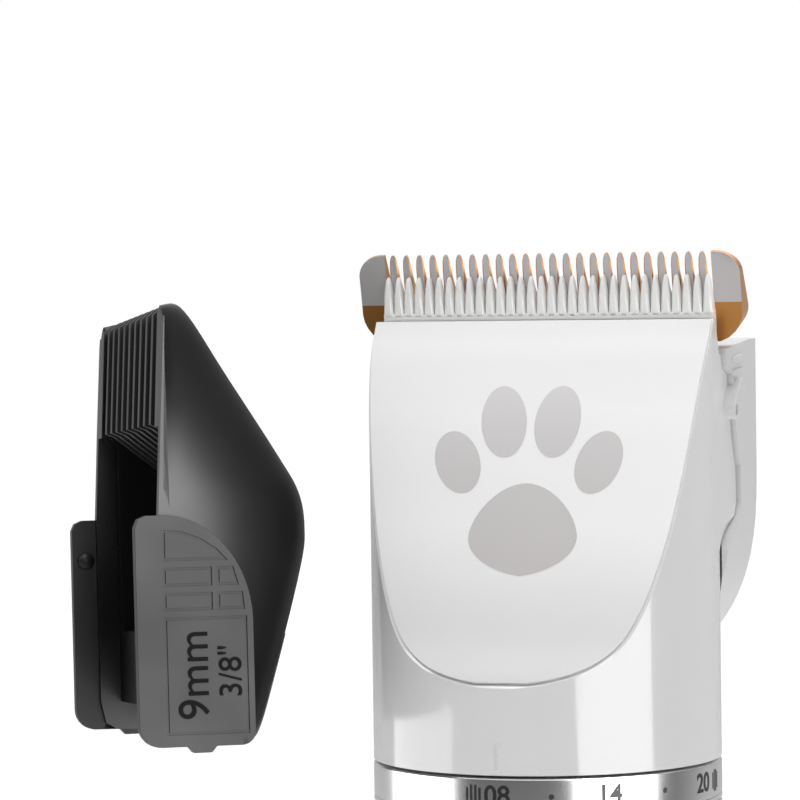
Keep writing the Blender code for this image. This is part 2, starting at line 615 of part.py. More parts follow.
def build_handle(plastic, screw_steel, chrome, lamp_plastic, press):
    front = handle_tube("handle_front", plastic)
    back = handle_tube("handle_back", plastic)
    split = GAP / 2
    far = SPLIT_REACH
    screw_levels = {"upper": HANDLE_TOP - 18 * MM, "lower": CAP_HEIGHT + 7 * MM}
    for label, level in screw_levels.items():
        reach = handle_radius(level) - 0.6 * MM
        fuse(front, add_rod("front_boss_" + label, 3.2 * MM, -reach, 0.0, None, "Y", (0, level), 16))
        fuse(back, add_rod("back_boss_" + label, 4.2 * MM, 0.0, reach, None, "Y", (0, level), 16))
        bore = add_rod("boss_bore_" + label, 1.3 * MM + GAP, -8 * MM, far, None, "Y", (0, level), 16)
        well = add_rod("boss_well_" + label, 2.6 * MM + GAP, 8 * MM, far, None, "Y", (0, level), 16)
        cut(front, bore)
        cut(back, bore)
        cut(back, well)
        screw = add_rod("shell_screw_" + label, 1.3 * MM, -7 * MM, 8.8 * MM, screw_steel, "Y",
                        (0, level), 12)
        fuse(screw, add_rod("shell_screw_head_" + label, 2.6 * MM, 8.0 * MM + GAP, 10.2 * MM,
                            None, "Y", (0, level), 12))
    cut(front, add_box("front_half", (-far, -split, -far), (far, far, 3 * far)))
    cut(back, add_box("back_half", (-far, -far, -far), (far, split, 3 * far)))

    surface = handle_radius(BUTTON_Z)
    centre = (0.0, BUTTON_Z)
    cut(front, add_prism("button_hole", pill(BUTTON_WIDTH + 2 * RUN_GAP, BUTTON_HEIGHT + 2 * RUN_GAP,
                                             centre), "Y", -far, -surface + 5 * MM))
    inside = -surface + WALL + 2.8 * MM
    button = add_prism("power_button", pill(BUTTON_WIDTH, BUTTON_HEIGHT, centre), "Y",
                       -surface - BUTTON_PROUD, inside + 1.2 * MM, chrome)
    fuse(button, add_prism("button_flange", pill(BUTTON_WIDTH + 2.4 * MM, BUTTON_HEIGHT + 2.4 * MM,
                                                 centre), "Y", inside + 0.2 * MM, inside + 1.2 * MM))
    set_on(button, press)

    board_front = inside + 1.2 * MM + BUTTON_TRAVEL + 2.6 * MM
    board_low, board_high = 42 * MM, HANDLE_TOP - 22.4 * MM
    add_box("circuit_board", (-8.5 * MM, board_front, board_low),
            (8.5 * MM, board_front + BOARD_THICK, board_high),
            make_material("board_green", (0.03, 0.18, 0.07), 0.5))
    add_box("power_switch", (-3 * MM, board_front - 2.3 * MM, BUTTON_Z - 3 * MM),
            (3 * MM, board_front - GAP, BUTTON_Z + 3 * MM),
            make_material("switch_black", (0.02, 0.02, 0.02), 0.5))
    lamp_surface = handle_radius(LAMP_Z)
    cut(front, add_rod("lamp_hole", 1.5 * MM + GAP, -far, -lamp_surface + 5 * MM, None, "Y",
                       (0, LAMP_Z), 16))
    add_rod("lamp_lens", 1.5 * MM, -lamp_surface - 0.2 * MM, board_front - GAP, lamp_plastic, "Y",
            (0, LAMP_Z), 16)
    return board_front + BOARD_THICK, board_high


def build_power(board_back, board_high, metal, wrap, red, black, plastic, steel):
    low = CAP_HEIGHT + 12.5 * MM
    centre = (0.0, handle_radius(WAIST_Z) - WALL - BATTERY_RADIUS - 0.9 * MM)
    add_rod("battery", BATTERY_RADIUS, low, low + BATTERY_LENGTH, wrap, "Z", centre, 32)
    for label, start in (("lower", low - GAP - 0.4 * MM), ("upper", low + BATTERY_LENGTH + GAP)):
        add_rod("battery_tab_" + label, 3.5 * MM, start, start + 0.4 * MM, metal, "Z", centre, 16)
    for side, label, colour in ((-1, "left", red), (1, "right", black)):
        top = Vector((side * 6.5 * MM, 2 * MM, MOTOR_TOP - MOTOR_LENGTH - GAP))
        end = Vector((side * 6.5 * MM, board_back + GAP + 0.9 * MM, board_high - 6 * MM))
        route = [top, top - Vector((0, 0.6 * MM, 2.6 * MM)),
                 Vector((side * 6.5 * MM, (top.y + end.y) / 2, (top.z + board_high) / 2)),
                 end + Vector((0, 0, 5 * MM)), end]
        curve = bpy.data.curves.new("motor_lead_" + label, "CURVE")
        curve.dimensions = "3D"
        curve.bevel_depth = 0.6 * MM
        curve.bevel_resolution = 2
        curve.use_fill_caps = True
        spline = curve.splines.new("POLY")
        points = smooth_curve(route, 4)
        spline.points.add(len(points) - 1)
        for slot, point in zip(spline.points, points):
            slot.co = (*point, 1.0)
        curve.materials.append(colour)
        lead = bpy.data.objects.new("motor_lead_" + label, curve)
        bpy.context.scene.collection.objects.link(lead)

    floor = 2.0 * MM
    spigot = handle_radius(CAP_HEIGHT) - WALL - GAP
    profile = [(0.5 * MM, 0.0), (FOOT_RADIUS - 1.2 * MM, 0.0), (FOOT_RADIUS, 1.2 * MM),
               (FOOT_RADIUS, CAP_HEIGHT), (spigot, CAP_HEIGHT), (spigot, CAP_HEIGHT + 2.5 * MM),
               (spigot - WALL, CAP_HEIGHT + 2.5 * MM), (spigot - WALL, floor), (0.5 * MM, floor)]
    cap = add_turned("end_cap", profile, plastic)
    fuse(cap, add_rod("cap_middle", 3 * MM, 0.0, floor))
    cut(cap, add_rod("jack_mouth", JACK_RADIUS + GAP, -5 * MM, 5 * MM, None, "Z", (0, JACK_Y), 24))
    add_turned("charging_socket", [(JACK_RADIUS, floor + GAP), (JACK_RADIUS + 1.6 * MM, floor + GAP),
                                   (JACK_RADIUS + 1.6 * MM, floor + 9 * MM),
                                   (JACK_RADIUS, floor + 9 * MM)], black, (0, JACK_Y), 24)
    pin = add_rod("charging_pin", 0.65 * MM, floor, floor + 8.2 * MM, steel, "Z", (0, JACK_Y), 12)
    fuse(pin, add_rod("charging_pin_base", JACK_RADIUS - GAP, floor + 7.4 * MM, floor + 8.6 * MM,
                      None, "Z", (0, JACK_Y), 16))


def comb_profile():
    """The comb's side outline: Y is its depth, Z is down from its peak."""
    points = ((0.3, -0.7), (2.6, 0.0), (4.8, -1.5), (9.0, -8.2), (14.5, -17.1), (16.9, -21.5),
              (17.5, -25.6), (16.9, -30.0), (13.7, -41.5), (11.6, -48.0), (10.2, -49.4),
              (2.0, -49.4), (0.0, -46.0), (0.0, -13.5))
    stretch = COMB_DEPTH / (17.5 * MM)
    rise = COMB_HEIGHT / (49.4 * MM)
    return [Vector((y * MM * stretch, z * MM * rise)) for y, z in points]


def leg_outline():
    """The clip-on leg on each side of the comb, with a quarter-round top."""
    low, high = -COMB_HEIGHT, -COMB_HEIGHT + 25.1 * MM
    front, back = -2.9 * MM, 10.1 * MM
    outline = [(front, low + 2.4 * MM), (front, high - 1.2 * MM), (front + 1.2 * MM, high),
               (front + 3 * MM, high)]
    for step in range(1, 9):
        turn = math.pi / 2 * (1 - step / 8)
        outline.append((front + 3 * MM + (back - front - 3 * MM) * math.cos(turn),
                        high - 11.5 * MM + 11.5 * MM * math.sin(turn)))
    return outline + [(back, low + 1.6 * MM), (back - 1.6 * MM, low), (front + 2.4 * MM, low)]


def build_comb(plastic):
    turn = Matrix.Rotation(COMB_TURN, 4, "Z") @ Matrix.Rotation(COMB_ROLL, 4, "Y")
    frame = add_empty("comb_frame", COMB_APEX, turn)
    inner = FIXED_WIDTH / 2 + GAP + 0.2 * MM
    outer = inner + COMB_WALL
    profile = comb_profile()
    comb = add_prism("guide_comb", [tuple(point) for point in profile], "X", -outer, outer, plastic)
    skin = offset_line(profile[:11], COMB_SKIN)
    cavity = [(-6 * MM, -13.5 * MM), (1.5 * MM, -13.9 * MM)]
    cavity += [tuple(point) for point in skin[4:10]]
    cavity += [(skin[10].x - 1 * MM, -COMB_HEIGHT - 4 * MM), (-6 * MM, -COMB_HEIGHT - 4 * MM)]
    cut(comb, add_prism("comb_hollow", cavity, "X", -inner, inner))
    room = COMB_RIB_PITCH - COMB_RIB
    slots = add_slots("comb_slots", COMB_RIBS, COMB_RIB_PITCH, room, -COMB_HEIGHT + 12 * MM,
                      5 * MM, 40 * MM)
    cut(comb, slots)
    for side, label in ((-1, "left"), (1, "right")):
        near = side * (outer - 0.4 * MM)
        far = side * (outer + COMB_LEG_THICK)
        fuse(comb, add_prism("comb_leg_" + label, leg_outline(), "X", min(near, far),
                             max(near, far)))
    hang_local(comb, frame)


def main():
    clear_scene()
    white = make_material("white_gloss", (0.86, 0.86, 0.86), 0.25)
    panel_white = make_material("panel_white", (0.8, 0.8, 0.8), 0.4)
    bracket_white = make_material("bracket_white", (0.66, 0.66, 0.66), 0.35)
    titanium = make_material("titanium_gold", (0.45, 0.23, 0.06), 0.3, 1.0)
    ceramic = make_material("white_ceramic", (0.9, 0.9, 0.9), 0.2)
    chrome = make_material("satin_chrome", (0.7, 0.7, 0.7), 0.2, 1.0)
    steel = make_material("steel", (0.5, 0.5, 0.5), 0.35, 1.0)
    brass = make_material("brass", (0.6, 0.45, 0.2), 0.35, 1.0)
    grey = make_material("grey_nylon", (0.3, 0.3, 0.3), 0.6)
    black = make_material("black_plastic", (0.02, 0.02, 0.02), 0.45)
    red = make_material("red_wire", (0.5, 0.02, 0.02), 0.5)
    wrap = make_material("battery_wrap", (0.05, 0.15, 0.4), 0.4)
    lamp = make_material("lamp_lens", (0.8, 0.85, 0.9), 0.15)

    hook_y = BODY_RADIUS + RUN_GAP + 1.2 * MM
    pivot = add_empty("blade_set_pivot", Vector((0, hook_y, BRACKET_BOTTOM)))
    lean = Matrix.Rotation(BLADE_LEAN, 4, "X")
    plane = add_empty("blade_plane", Vector((0, TIP_Y, TIP_Z)), lean, pivot)
    lift = add_empty("lift_frame", Vector((0, TIP_Y, TIP_Z)), lean, pivot)
    cutter_frame = add_empty("cutter_frame", Vector((0, TIP_Y, TIP_Z)), lean, lift)
    ring_axis = add_empty("ring_axis", Vector((0, 0, HANDLE_TOP)))
    mover = add_empty("lift_axis", Vector((0, 0, MOTOR_TOP)))
    spinner = add_empty("motor_axis", Vector((0, 0, MOTOR_TOP)))
    press = add_empty("button_axis", Vector((0, -handle_radius(BUTTON_Z), BUTTON_Z)))

    build_head(white, panel_white)
    build_blades(plane, titanium, ceramic, steel, cutter_frame, grey, steel, lift)
    build_bracket(plane, pivot, bracket_white)
    build_drive(steel, steel, brass, grey, spinner, mover, cutter_frame, steel)
    build_ring(chrome, grey, steel, ring_axis)
    board_back, board_high = build_handle(white, steel, chrome, lamp, press)
    build_power(board_back, board_high, steel, wrap, red, black, white, steel)
    build_comb(black)


main()
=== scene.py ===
import json
import math

import bmesh
import bpy
from mathutils import Matrix, Vector

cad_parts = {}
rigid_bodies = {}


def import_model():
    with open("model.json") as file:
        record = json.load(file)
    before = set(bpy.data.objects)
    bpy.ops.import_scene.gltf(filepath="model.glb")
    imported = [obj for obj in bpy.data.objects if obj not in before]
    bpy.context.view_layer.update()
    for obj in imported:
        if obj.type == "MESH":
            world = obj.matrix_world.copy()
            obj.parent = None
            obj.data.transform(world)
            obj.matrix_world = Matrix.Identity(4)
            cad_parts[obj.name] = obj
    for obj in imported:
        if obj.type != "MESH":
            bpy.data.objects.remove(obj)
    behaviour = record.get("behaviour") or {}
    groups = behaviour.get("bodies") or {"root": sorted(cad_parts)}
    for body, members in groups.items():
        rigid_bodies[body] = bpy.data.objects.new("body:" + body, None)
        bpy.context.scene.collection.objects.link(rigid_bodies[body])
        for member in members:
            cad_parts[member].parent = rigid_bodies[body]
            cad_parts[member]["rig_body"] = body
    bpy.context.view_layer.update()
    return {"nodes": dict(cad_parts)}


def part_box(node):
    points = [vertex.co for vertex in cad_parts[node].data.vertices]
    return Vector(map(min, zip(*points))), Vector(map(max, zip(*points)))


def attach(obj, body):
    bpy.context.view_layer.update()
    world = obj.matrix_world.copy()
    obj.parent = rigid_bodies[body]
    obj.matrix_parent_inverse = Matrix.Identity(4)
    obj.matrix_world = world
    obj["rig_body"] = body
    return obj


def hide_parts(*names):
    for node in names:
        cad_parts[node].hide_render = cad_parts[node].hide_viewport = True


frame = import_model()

mm = 0.001

# where the CAD pieces are
ringLow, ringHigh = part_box("length_ring")
panelLow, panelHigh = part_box("face_panel")
bodyRadius = ringHigh[0]
ringTop = ringHigh[2]
panelFoot, panelTop = panelLow[2], panelHigh[2]
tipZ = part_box("fixed_blade")[1][2]


# linear colour of an sRGB hex value
def srgb(text):
    values = [int(text[place:place + 2], 16) / 255 for place in (1, 3, 5)]
    return tuple(v / 12.92 if v < 0.04045 else ((v + 0.055) / 1.055) ** 2.4 for v in values) + (1.0,)


def addNode(tree, kind, inputs=None, **settings):
    node = tree.nodes.new(kind)
    for name, value in settings.items():
        setattr(node, name, value)
    for name, value in (inputs or {}).items():
        socket = node.inputs[name]
        if isinstance(value, bpy.types.NodeSocket):
            tree.links.new(value, socket)
        else:
            socket.default_value = value
    return node


# a finish with a fine surface grain. grain and depth are in millimetres
def makeFinish(name, colour, roughness, metallic=0.0, grain=0.5, depth=0.002, tint=0.03,
               stretch=(1, 1, 1), **extra):
    material = bpy.data.materials.new(name)
    material.use_nodes = True
    tree = material.node_tree
    shader = tree.nodes["Principled BSDF"]
    shader.inputs["Metallic"].default_value = metallic
    for key, value in extra.items():
        shader.inputs[key].default_value = value
    place = addNode(tree, "ShaderNodeTexCoord").outputs["Object"]
    place = addNode(tree, "ShaderNodeMapping", {"Vector": place, "Scale": stretch}).outputs[0]
    fine = addNode(tree, "ShaderNodeTexNoise", {"Vector": place, "Scale": 1 / (grain * mm),
                                                "Detail": 3.0})
    wide = addNode(tree, "ShaderNodeTexNoise", {"Vector": place, "Scale": 1 / (14 * mm),
                                                "Detail": 2.0})
    base = srgb(colour)
    dark = tuple(v * (1 - tint) for v in base[:3]) + (1.0,)
    blend = addNode(tree, "ShaderNodeMix", {0: wide.outputs[0], 6: dark, 7: base},
                    data_type="RGBA")
    tree.links.new(blend.outputs[2], shader.inputs["Base Color"])
    rough = addNode(tree, "ShaderNodeMapRange", {"Value": wide.outputs[0], "From Min": 0.3,
                                                 "From Max": 0.7, "To Min": roughness * 0.88,
                                                 "To Max": roughness * 1.12})
    tree.links.new(rough.outputs[0], shader.inputs["Roughness"])
    bump = addNode(tree, "ShaderNodeBump", {"Height": fine.outputs[0], "Strength": 0.6,
                                            "Distance": depth * mm})
    tree.links.new(bump.outputs[0], shader.inputs["Normal"])
    return material


# painted shade: a colour that shifts with height, darker where the surface takes less light; stops are
# share and colour
def paintedShadeByHeight(material, low, high, stops):
    tree = material.node_tree
    place = addNode(tree, "ShaderNodeTexCoord").outputs["Object"]
    split = addNode(tree, "ShaderNodeSeparateXYZ", {0: place})
    share = addNode(tree, "ShaderNodeMapRange", {"Value": split.outputs["Z"], "From Min": low,
                                                 "From Max": high})
    ramp = addNode(tree, "ShaderNodeValToRGB", {"Fac": share.outputs[0]})
    elements = ramp.color_ramp.elements
    while len(elements) < len(stops):
        elements.new(0.5)
    for element, (height, colour) in zip(elements, stops):
        element.position = height
        element.color = srgb(colour)
    tree.links.new(ramp.outputs[0], tree.nodes["Principled BSDF"].inputs["Base Color"])


bladePlace = dict(rise=7.8 * mm, back=1.8 * mm, lean=15)      # tips above the panel, lean in degrees
bladeFrame = (Matrix.Translation((0, bladePlace["back"], panelTop + bladePlace["rise"]))
              @ Matrix.Rotation(math.radians(bladePlace["lean"]), 4, "X"))


# titanium-nitride coat: warm gold, with the front ground back to bare grey steel
def makeCoatedSteel():
    material = makeFinish("titaniumNitrideSteel", "#C48A48", 0.3, 1.0, grain=0.12, depth=0.001,
                          tint=0.12)
    tree = material.node_tree
    shader = tree.nodes["Principled BSDF"]
    coords = addNode(tree, "ShaderNodeTexCoord")
    front = bladeFrame.to_3x3() @ Vector((0, -1, 0))
    facing = addNode(tree, "ShaderNodeVectorMath", {0: coords.outputs["Normal"], 1: tuple(front)},
                     operation="DOT_PRODUCT")
    isFront = addNode(tree, "ShaderNodeMath", {0: facing.outputs["Value"], 1: 0.93},
                      operation="GREATER_THAN")
    up = bladeFrame.to_3x3() @ Vector((0, 0, 1))
    height = addNode(tree, "ShaderNodeVectorMath", {0: coords.outputs["Object"], 1: tuple(up)},
                     operation="DOT_PRODUCT")
    groundFrom = bladeFrame.translation.dot(up) - 6.1 * mm
    isGround = addNode(tree, "ShaderNodeMath", {0: height.outputs["Value"], 1: groundFrom},
                       operation="GREATER_THAN")
    both = addNode(tree, "ShaderNodeMath", {0: isFront.outputs[0], 1: isGround.outputs[0]},
                   operation="MULTIPLY")
    gold = shader.inputs["Base Color"].links[0].from_socket
    blend = addNode(tree, "ShaderNodeMix", {0: both.outputs[0], 6: gold, 7: srgb("#C6C2C2")},
                    data_type="RGBA")
    tree.links.new(blend.outputs[2], shader.inputs["Base Color"])
    matt = addNode(tree, "ShaderNodeMapRange", {"Value": both.outputs[0], "To Min": 0.7,
                                                "To Max": 0.35})
    tree.links.new(matt.outputs[0], shader.inputs["Metallic"])
    return material


finishes = {
    # injection-moulded ABS, polished mould: clear softbox edges
    "whiteAbs": makeFinish("polishedWhiteAbs", "#E6E6E6", 0.12, grain=0.8, depth=0.0006, tint=0.01,
                           IOR=1.53),
    # printed satin face: silver-white; painted shade darkens it towards the foot of the scoop and near the
    # top edge
    "faceAbs": makeFinish("satinWhiteFace", "#EDEDED", 0.4, grain=0.25, depth=0.001, tint=0.01),
    # bracket in a slightly greyer, satin ABS
    "bracketAbs": makeFinish("satinGreyWhiteAbs", "#DADADB", 0.36, grain=0.3, depth=0.0004,
                             tint=0.02),
    "coatedSteel": makeCoatedSteel(),
    # zirconia, ground and polished: dense white with a tight highlight
    "zirconia": makeFinish("polishedZirconia", "#FCFCFB", 0.16, grain=0.1, depth=0.0006, tint=0.01,
                           IOR=1.5),
    # satin electroplate on ABS, turned lines round the ring
    "satinChrome": makeFinish("satinChromePlate", "#DADADA", 0.2, 1.0, grain=0.25, depth=0.0008,
                              tint=0.03, stretch=(0.05, 0.05, 1)),
    # glass-filled nylon, spark-eroded mould: fine dull grain
    "blackNylon": makeFinish("sparkTexturedBlackNylon", "#262626", 0.42, grain=0.22, depth=0.006,
                             tint=0.12, **{"Specular IOR Level": 0.18}),
    # the same nylon from a smoother half of the mould, coloured darker than the legs as painted shade:
    # faint sheen on near-black
    "shadedCombNylon": makeFinish("smoothBlackNylon", "#101010", 0.34, grain=0.3, depth=0.002,
                            tint=0.12, **{"Specular IOR Level": 0.22}),
    # raised figures, dull, coloured darker than the leg round them as painted shade
    "shadedLetterNylon": makeFinish("dullBlackNylon", "#141414", 0.6, grain=0.2, depth=0.003, tint=0.1,
                              **{"Specular IOR Level": 0.05}),
    "greyNylon": makeFinish("mouldedGreyNylon", "#8A8B8C", 0.5, grain=0.3, depth=0.004, tint=0.06),
    "brightSteel": makeFinish("brightSteel", "#B8B8BA", 0.3, 1.0, grain=0.15, depth=0.0015,
                              tint=0.05),
    "turnedBrass": makeFinish("turnedBrass", "#C9A24F", 0.28, 1.0, grain=0.2, depth=0.001,
                              tint=0.06, stretch=(0.1, 0.1, 1)),
    "blackPart": makeFinish("mouldedBlackPbt", "#161616", 0.45, grain=0.3, depth=0.003, tint=0.1),
    "redWire": makeFinish("redSiliconeWire", "#B3201A", 0.5, grain=0.5, depth=0.002, tint=0.08),
    "cellWrap": makeFinish("blueShrinkFilm", "#2C57A0", 0.25, grain=1.2, depth=0.004, tint=0.05),
    "board": makeFinish("greenSolderMask", "#1E6B3A", 0.35, grain=0.6, depth=0.004, tint=0.15),
    "lens": makeFinish("frostedLens", "#DDE8F2", 0.2, grain=0.3, depth=0.001, tint=0.02,
                       **{"Transmission Weight": 0.35}),
    "printBlack": makeFinish("padPrintedInk", "#1B1B1B", 0.45, grain=0.1, depth=0.0004, tint=0.1),
    "printGrey": makeFinish("silverGreyInk", "#D2D0D0", 0.35, grain=0.1, depth=0.0004, tint=0.04),
}
# painted shade on the face: darker at the foot of the scoop and towards the top edge, lightest in the
# middle
paintedShadeByHeight(finishes["faceAbs"], panelFoot - mm, panelTop,
            ((0.0, "#9A9A9A"), (0.06, "#BBBBBB"), (0.178, "#DDDDDD"), (0.325, "#F1F1F1"),
             (0.47, "#FEFEFE"), (0.765, "#FFFFFF"), (0.88, "#F3F3F3"), (0.97, "#E8E8E8")))
# painted shade on the paw print: darker towards the bottom, as on the face round it
paintedShadeByHeight(finishes["printGrey"], panelTop - 28 * mm, panelTop - 8 * mm,
            ((0.0, "#CAC6C6"), (1.0, "#DEDCDC")))
print("finishes made")


def meshObject(name, points, faces):
    mesh = bpy.data.meshes.new(name)
    shape = bmesh.new()
    corners = [shape.verts.new(point) for point in points]
    for face in faces:
        shape.faces.new([corners[index] for index in face])
    bmesh.ops.triangulate(shape, faces=[face for face in shape.faces if len(face.verts) > 4])
    bmesh.ops.recalc_face_normals(shape, faces=shape.faces)
    shape.to_mesh(mesh)
    shape.free()
    piece = bpy.data.objects.new(name, mesh)
    bpy.context.scene.collection.objects.link(piece)
    return piece


# a body through loops of equal length
def loft(name, loops, fanned=False):
    count = len(loops[0])
    points = [point for loop in loops for point in loop]
    faces = []
    for level in range(len(loops) - 1):
        low = level * count
        for index in range(count):
            after = (index + 1) % count
            faces.append((low + index, low + after, low + count + after, low + count + index))
    if fanned:      # a middle point keeps straight runs of corners from making empty triangles
        for start, loop in ((0, loops[0]), (len(points) - count, loops[-1])):
            faces += [(start + index, start + (index + 1) % count, len(points))
                      for index in range(count)]
            points.append(sum((Vector(point) for point in loop), Vector()) / count)
    else:
        faces += [tuple(range(count)), tuple(range(len(points) - count, len(points)))]
    return meshObject(name, points, faces)


# an outline pushed along an axis. Its pairs are the two other axes in X, Y, Z order
def prism(name, outline, along, low, high):
    def corner(pair, distance):
        values = list(pair)
        values.insert("XYZ".index(along), distance)
        return values
    return loft(name, [[corner(pair, distance) for pair in outline] for distance in (low, high)])


# a closed profile of (radius, height) turned about Z
def ring(name, profile, sides=192):
    count = len(profile)
    points = []
    faces = []
    for index in range(sides):
        turn = 2 * math.pi * index / sides
        points += [(r * math.cos(turn), r * math.sin(turn), h) for r, h in profile]
        following = (index + 1) % sides
        for step in range(count):
            after = (step + 1) % count
            faces.append((index * count + step, index * count + after,
                          following * count + after, following * count + step))
    return meshObject(name, points, faces)


def rodAlong(name, radius, along, low, high, centre, sides=32):
    outline = [(centre[0] + radius * math.cos(2 * math.pi * (i + 0.37) / sides),
                centre[1] + radius * math.sin(2 * math.pi * (i + 0.37) / sides))
               for i in range(sides)]
    return prism(name, outline, along, low, high)


def ball(name, radius, centre):
    mesh = bpy.data.meshes.new(name)
    shape = bmesh.new()
    bmesh.ops.create_uvsphere(shape, u_segments=24, v_segments=12, radius=radius,
                              matrix=Matrix.Translation(centre))
    shape.to_mesh(mesh)
    shape.free()
    piece = bpy.data.objects.new(name, mesh)
    bpy.context.scene.collection.objects.link(piece)
    return piece


# turns what the modifiers give into the piece's own mesh
def freeze(piece):
    bpy.context.view_layer.update()
    shown = piece.evaluated_get(bpy.context.evaluated_depsgraph_get())
    mesh = bpy.data.meshes.new_from_object(shown)
    piece.modifiers.clear()
    piece.data = mesh
    return piece


# booleans the tools into the piece and removes them
def carve(piece, *tools, operation="DIFFERENCE", solver="EXACT"):
    for tool in tools:
        change = piece.modifiers.new("carve", "BOOLEAN")
        change.operation = operation
        change.solver = solver
        change.object = tool
    freeze(piece)
    for tool in tools:
        bpy.data.objects.remove(tool, do_unlink=True)
    return piece


# a small mould radius on the sharp edges
def soften(piece, width, segments=2, angle=35):
    shape = bmesh.new()
    shape.from_mesh(piece.data)
    bmesh.ops.remove_doubles(shape, verts=shape.verts, dist=0.000002)
    bmesh.ops.triangulate(shape, faces=[face for face in shape.faces if len(face.verts) > 4])
    shape.to_mesh(piece.data)
    shape.free()
    change = piece.modifiers.new("soften", "BEVEL")
    change.width = width
    change.segments = segments
    change.limit_method = "ANGLE"
    change.angle_limit = math.radians(angle)
    change.use_clamp_overlap = True
    return freeze(piece)


def mergeFlats(mesh):
    shape = bmesh.new()
    shape.from_mesh(mesh)
    bmesh.ops.remove_doubles(shape, verts=shape.verts, dist=0.000002)
    bmesh.ops.dissolve_limit(shape, angle_limit=math.radians(0.4), verts=shape.verts,
                             edges=shape.edges)
    shape.to_mesh(mesh)
    shape.free()


# gives a piece its finish, its body and the CAD nodes that it stands for
def dress(piece, finish, body, replaced=(), sharp=32):
    piece.data.materials.clear()
    piece.data.materials.append(finishes[finish])
    piece.data.shade_smooth()
    piece.data.set_sharp_from_angle(angle=math.radians(sharp))
    change = piece.modifiers.new("even", "WEIGHTED_NORMAL")    # keeps flat faces flat
    change.keep_sharp = True
    freeze(piece)
    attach(piece, body)
    if replaced:
        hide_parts(*replaced)
    return piece


# Catmull-Rom points through the given ones
def smoothCurve(points, steps):
    ends = [Vector(point) for point in points]
    ends = [2 * ends[0] - ends[1], *ends, 2 * ends[-1] - ends[-2]]
    curve = []
    for index in range(1, len(ends) - 2):
        a, b, c, d = ends[index - 1:index + 3]
        for step in range(steps):
            t = step / steps
            curve.append(0.5 * (2 * b + (c - a) * t + (2 * a - 5 * b + 4 * c - d) * t * t
                                + (3 * b - a - 3 * c + d) * t ** 3))
    curve.append(ends[-2])
    return curve


# the line moved to the right of its direction
def shiftLine(line, distance):
    moved = []
    for index, point in enumerate(line):
        before, after = line[max(index - 1, 0)], line[min(index + 1, len(line) - 1)]
        way = (after - before).normalized()
        moved.append(point + Vector((way.y, -way.x)) * distance)
    return moved


# Geometry Nodes: a row of copies of a part along X, made real and given its finish
def rowOf(name, part, count, pitch, finish, place=None):
    tree = bpy.data.node_groups.new(name + "Row", "GeometryNodeTree")
    kinds = {"Part": "NodeSocketObject", "Count": "NodeSocketInt", "Pitch": "NodeSocketFloat",
             "Finish": "NodeSocketMaterial"}
    slots = {}
    for title, kind in kinds.items():
        slots[title] = tree.interface.new_socket(title, in_out="INPUT", socket_type=kind)
    tree.interface.new_socket("Geometry", in_out="OUTPUT", socket_type="NodeSocketGeometry")
    given = addNode(tree, "NodeGroupInput")
    span = addNode(tree, "ShaderNodeMath", {0: given.outputs["Count"], 1: 1.0},
                   operation="SUBTRACT")
    half = addNode(tree, "ShaderNodeMath", {0: span.outputs[0], 1: -0.5}, operation="MULTIPLY")
    first = addNode(tree, "ShaderNodeMath", {0: half.outputs[0], 1: given.outputs["Pitch"]},
                    operation="MULTIPLY")
    start = addNode(tree, "ShaderNodeCombineXYZ", {"X": first.outputs[0]})
    step = addNode(tree, "ShaderNodeCombineXYZ", {"X": given.outputs["Pitch"]})
    line = addNode(tree, "GeometryNodeMeshLine", {"Count": given.outputs["Count"],
                                                  "Start Location": start.outputs[0],
                                                  "Offset": step.outputs[0]}, mode="OFFSET")
    source = addNode(tree, "GeometryNodeObjectInfo", {"Object": given.outputs["Part"]})
    copies = addNode(tree, "GeometryNodeInstanceOnPoints", {"Points": line.outputs[0],
                                                            "Instance": source.outputs["Geometry"]})
    real = addNode(tree, "GeometryNodeRealizeInstances", {"Geometry": copies.outputs[0]})
    coated = addNode(tree, "GeometryNodeSetMaterial", {"Geometry": real.outputs[0],
                                                       "Material": given.outputs["Finish"]})
    addNode(tree, "NodeGroupOutput", {"Geometry": coated.outputs[0]})
    holder = meshObject(name, [(0, 0, 0)], [])
    change = holder.modifiers.new("row", "NODES")
    change.node_group = tree
    for title, value in {"Part": part, "Count": count, "Pitch": pitch,
                         "Finish": finishes[finish]}.items():
        change[slots[title].identifier] = value
    freeze(holder)
    if place:
        holder.data.transform(place)
    bpy.data.objects.remove(part, do_unlink=True)
    return holder


headSize = dict(wall=1.8 * mm, depth=15 * mm, sides=192, faceBacking=1.6 * mm, seam=0.3 * mm,
                gap=0.3 * mm, morphLow=27.2 * mm, morphHigh=23.4 * mm)


# the scooped face in the Y-Z plane, top edge down to the body's surface
def faceLine(steps=10):
    drops = ((0.0, 0.0), (4.9, 3.4), (11.5, 6.3), (24.5, 10.7), (33.8, 14.4), (38.2, 17.3),
             (41.6, 21.6))
    return smoothCurve([(-out * mm, panelTop - down * mm) for down, out in drops], steps)


# the side wall's rear edge in the Y-Z plane, top to bottom
def cheekLine(shift):
    drops = ((3.9, 4.2), (4.6, 5.9), (7.0, 6.6), (8.2, 11.0), (10.0, 15.8), (11.3, 17.6),
             (11.5, 22.0), (10.2, 23.6), (7.6, 25.6), (6.4, 27.4), (6.4, 60.0))
    return [Vector((out * mm + shift, panelTop - down * mm)) for out, down in drops]


def headLoop(height, inset):
    radius = bodyRadius - inset
    low, high = panelTop - headSize["morphLow"], panelTop - headSize["morphHigh"]
    share = min(max((height - low) / (high - low), 0.0), 1.0)
    loop = []
    for index in range(headSize["sides"]):
        turn = 2 * math.pi * index / headSize["sides"]
        x, y = radius * math.cos(turn), radius * math.sin(turn)
        if y > 0:
            reach = 1 / max(abs(math.cos(turn)), math.sin(turn) * radius / headSize["depth"])
            square = Vector((math.cos(turn), math.sin(turn))) * radius * reach
            x, y = Vector((x, y)).lerp(square, share)
        loop.append((x, y, height))
    return loop


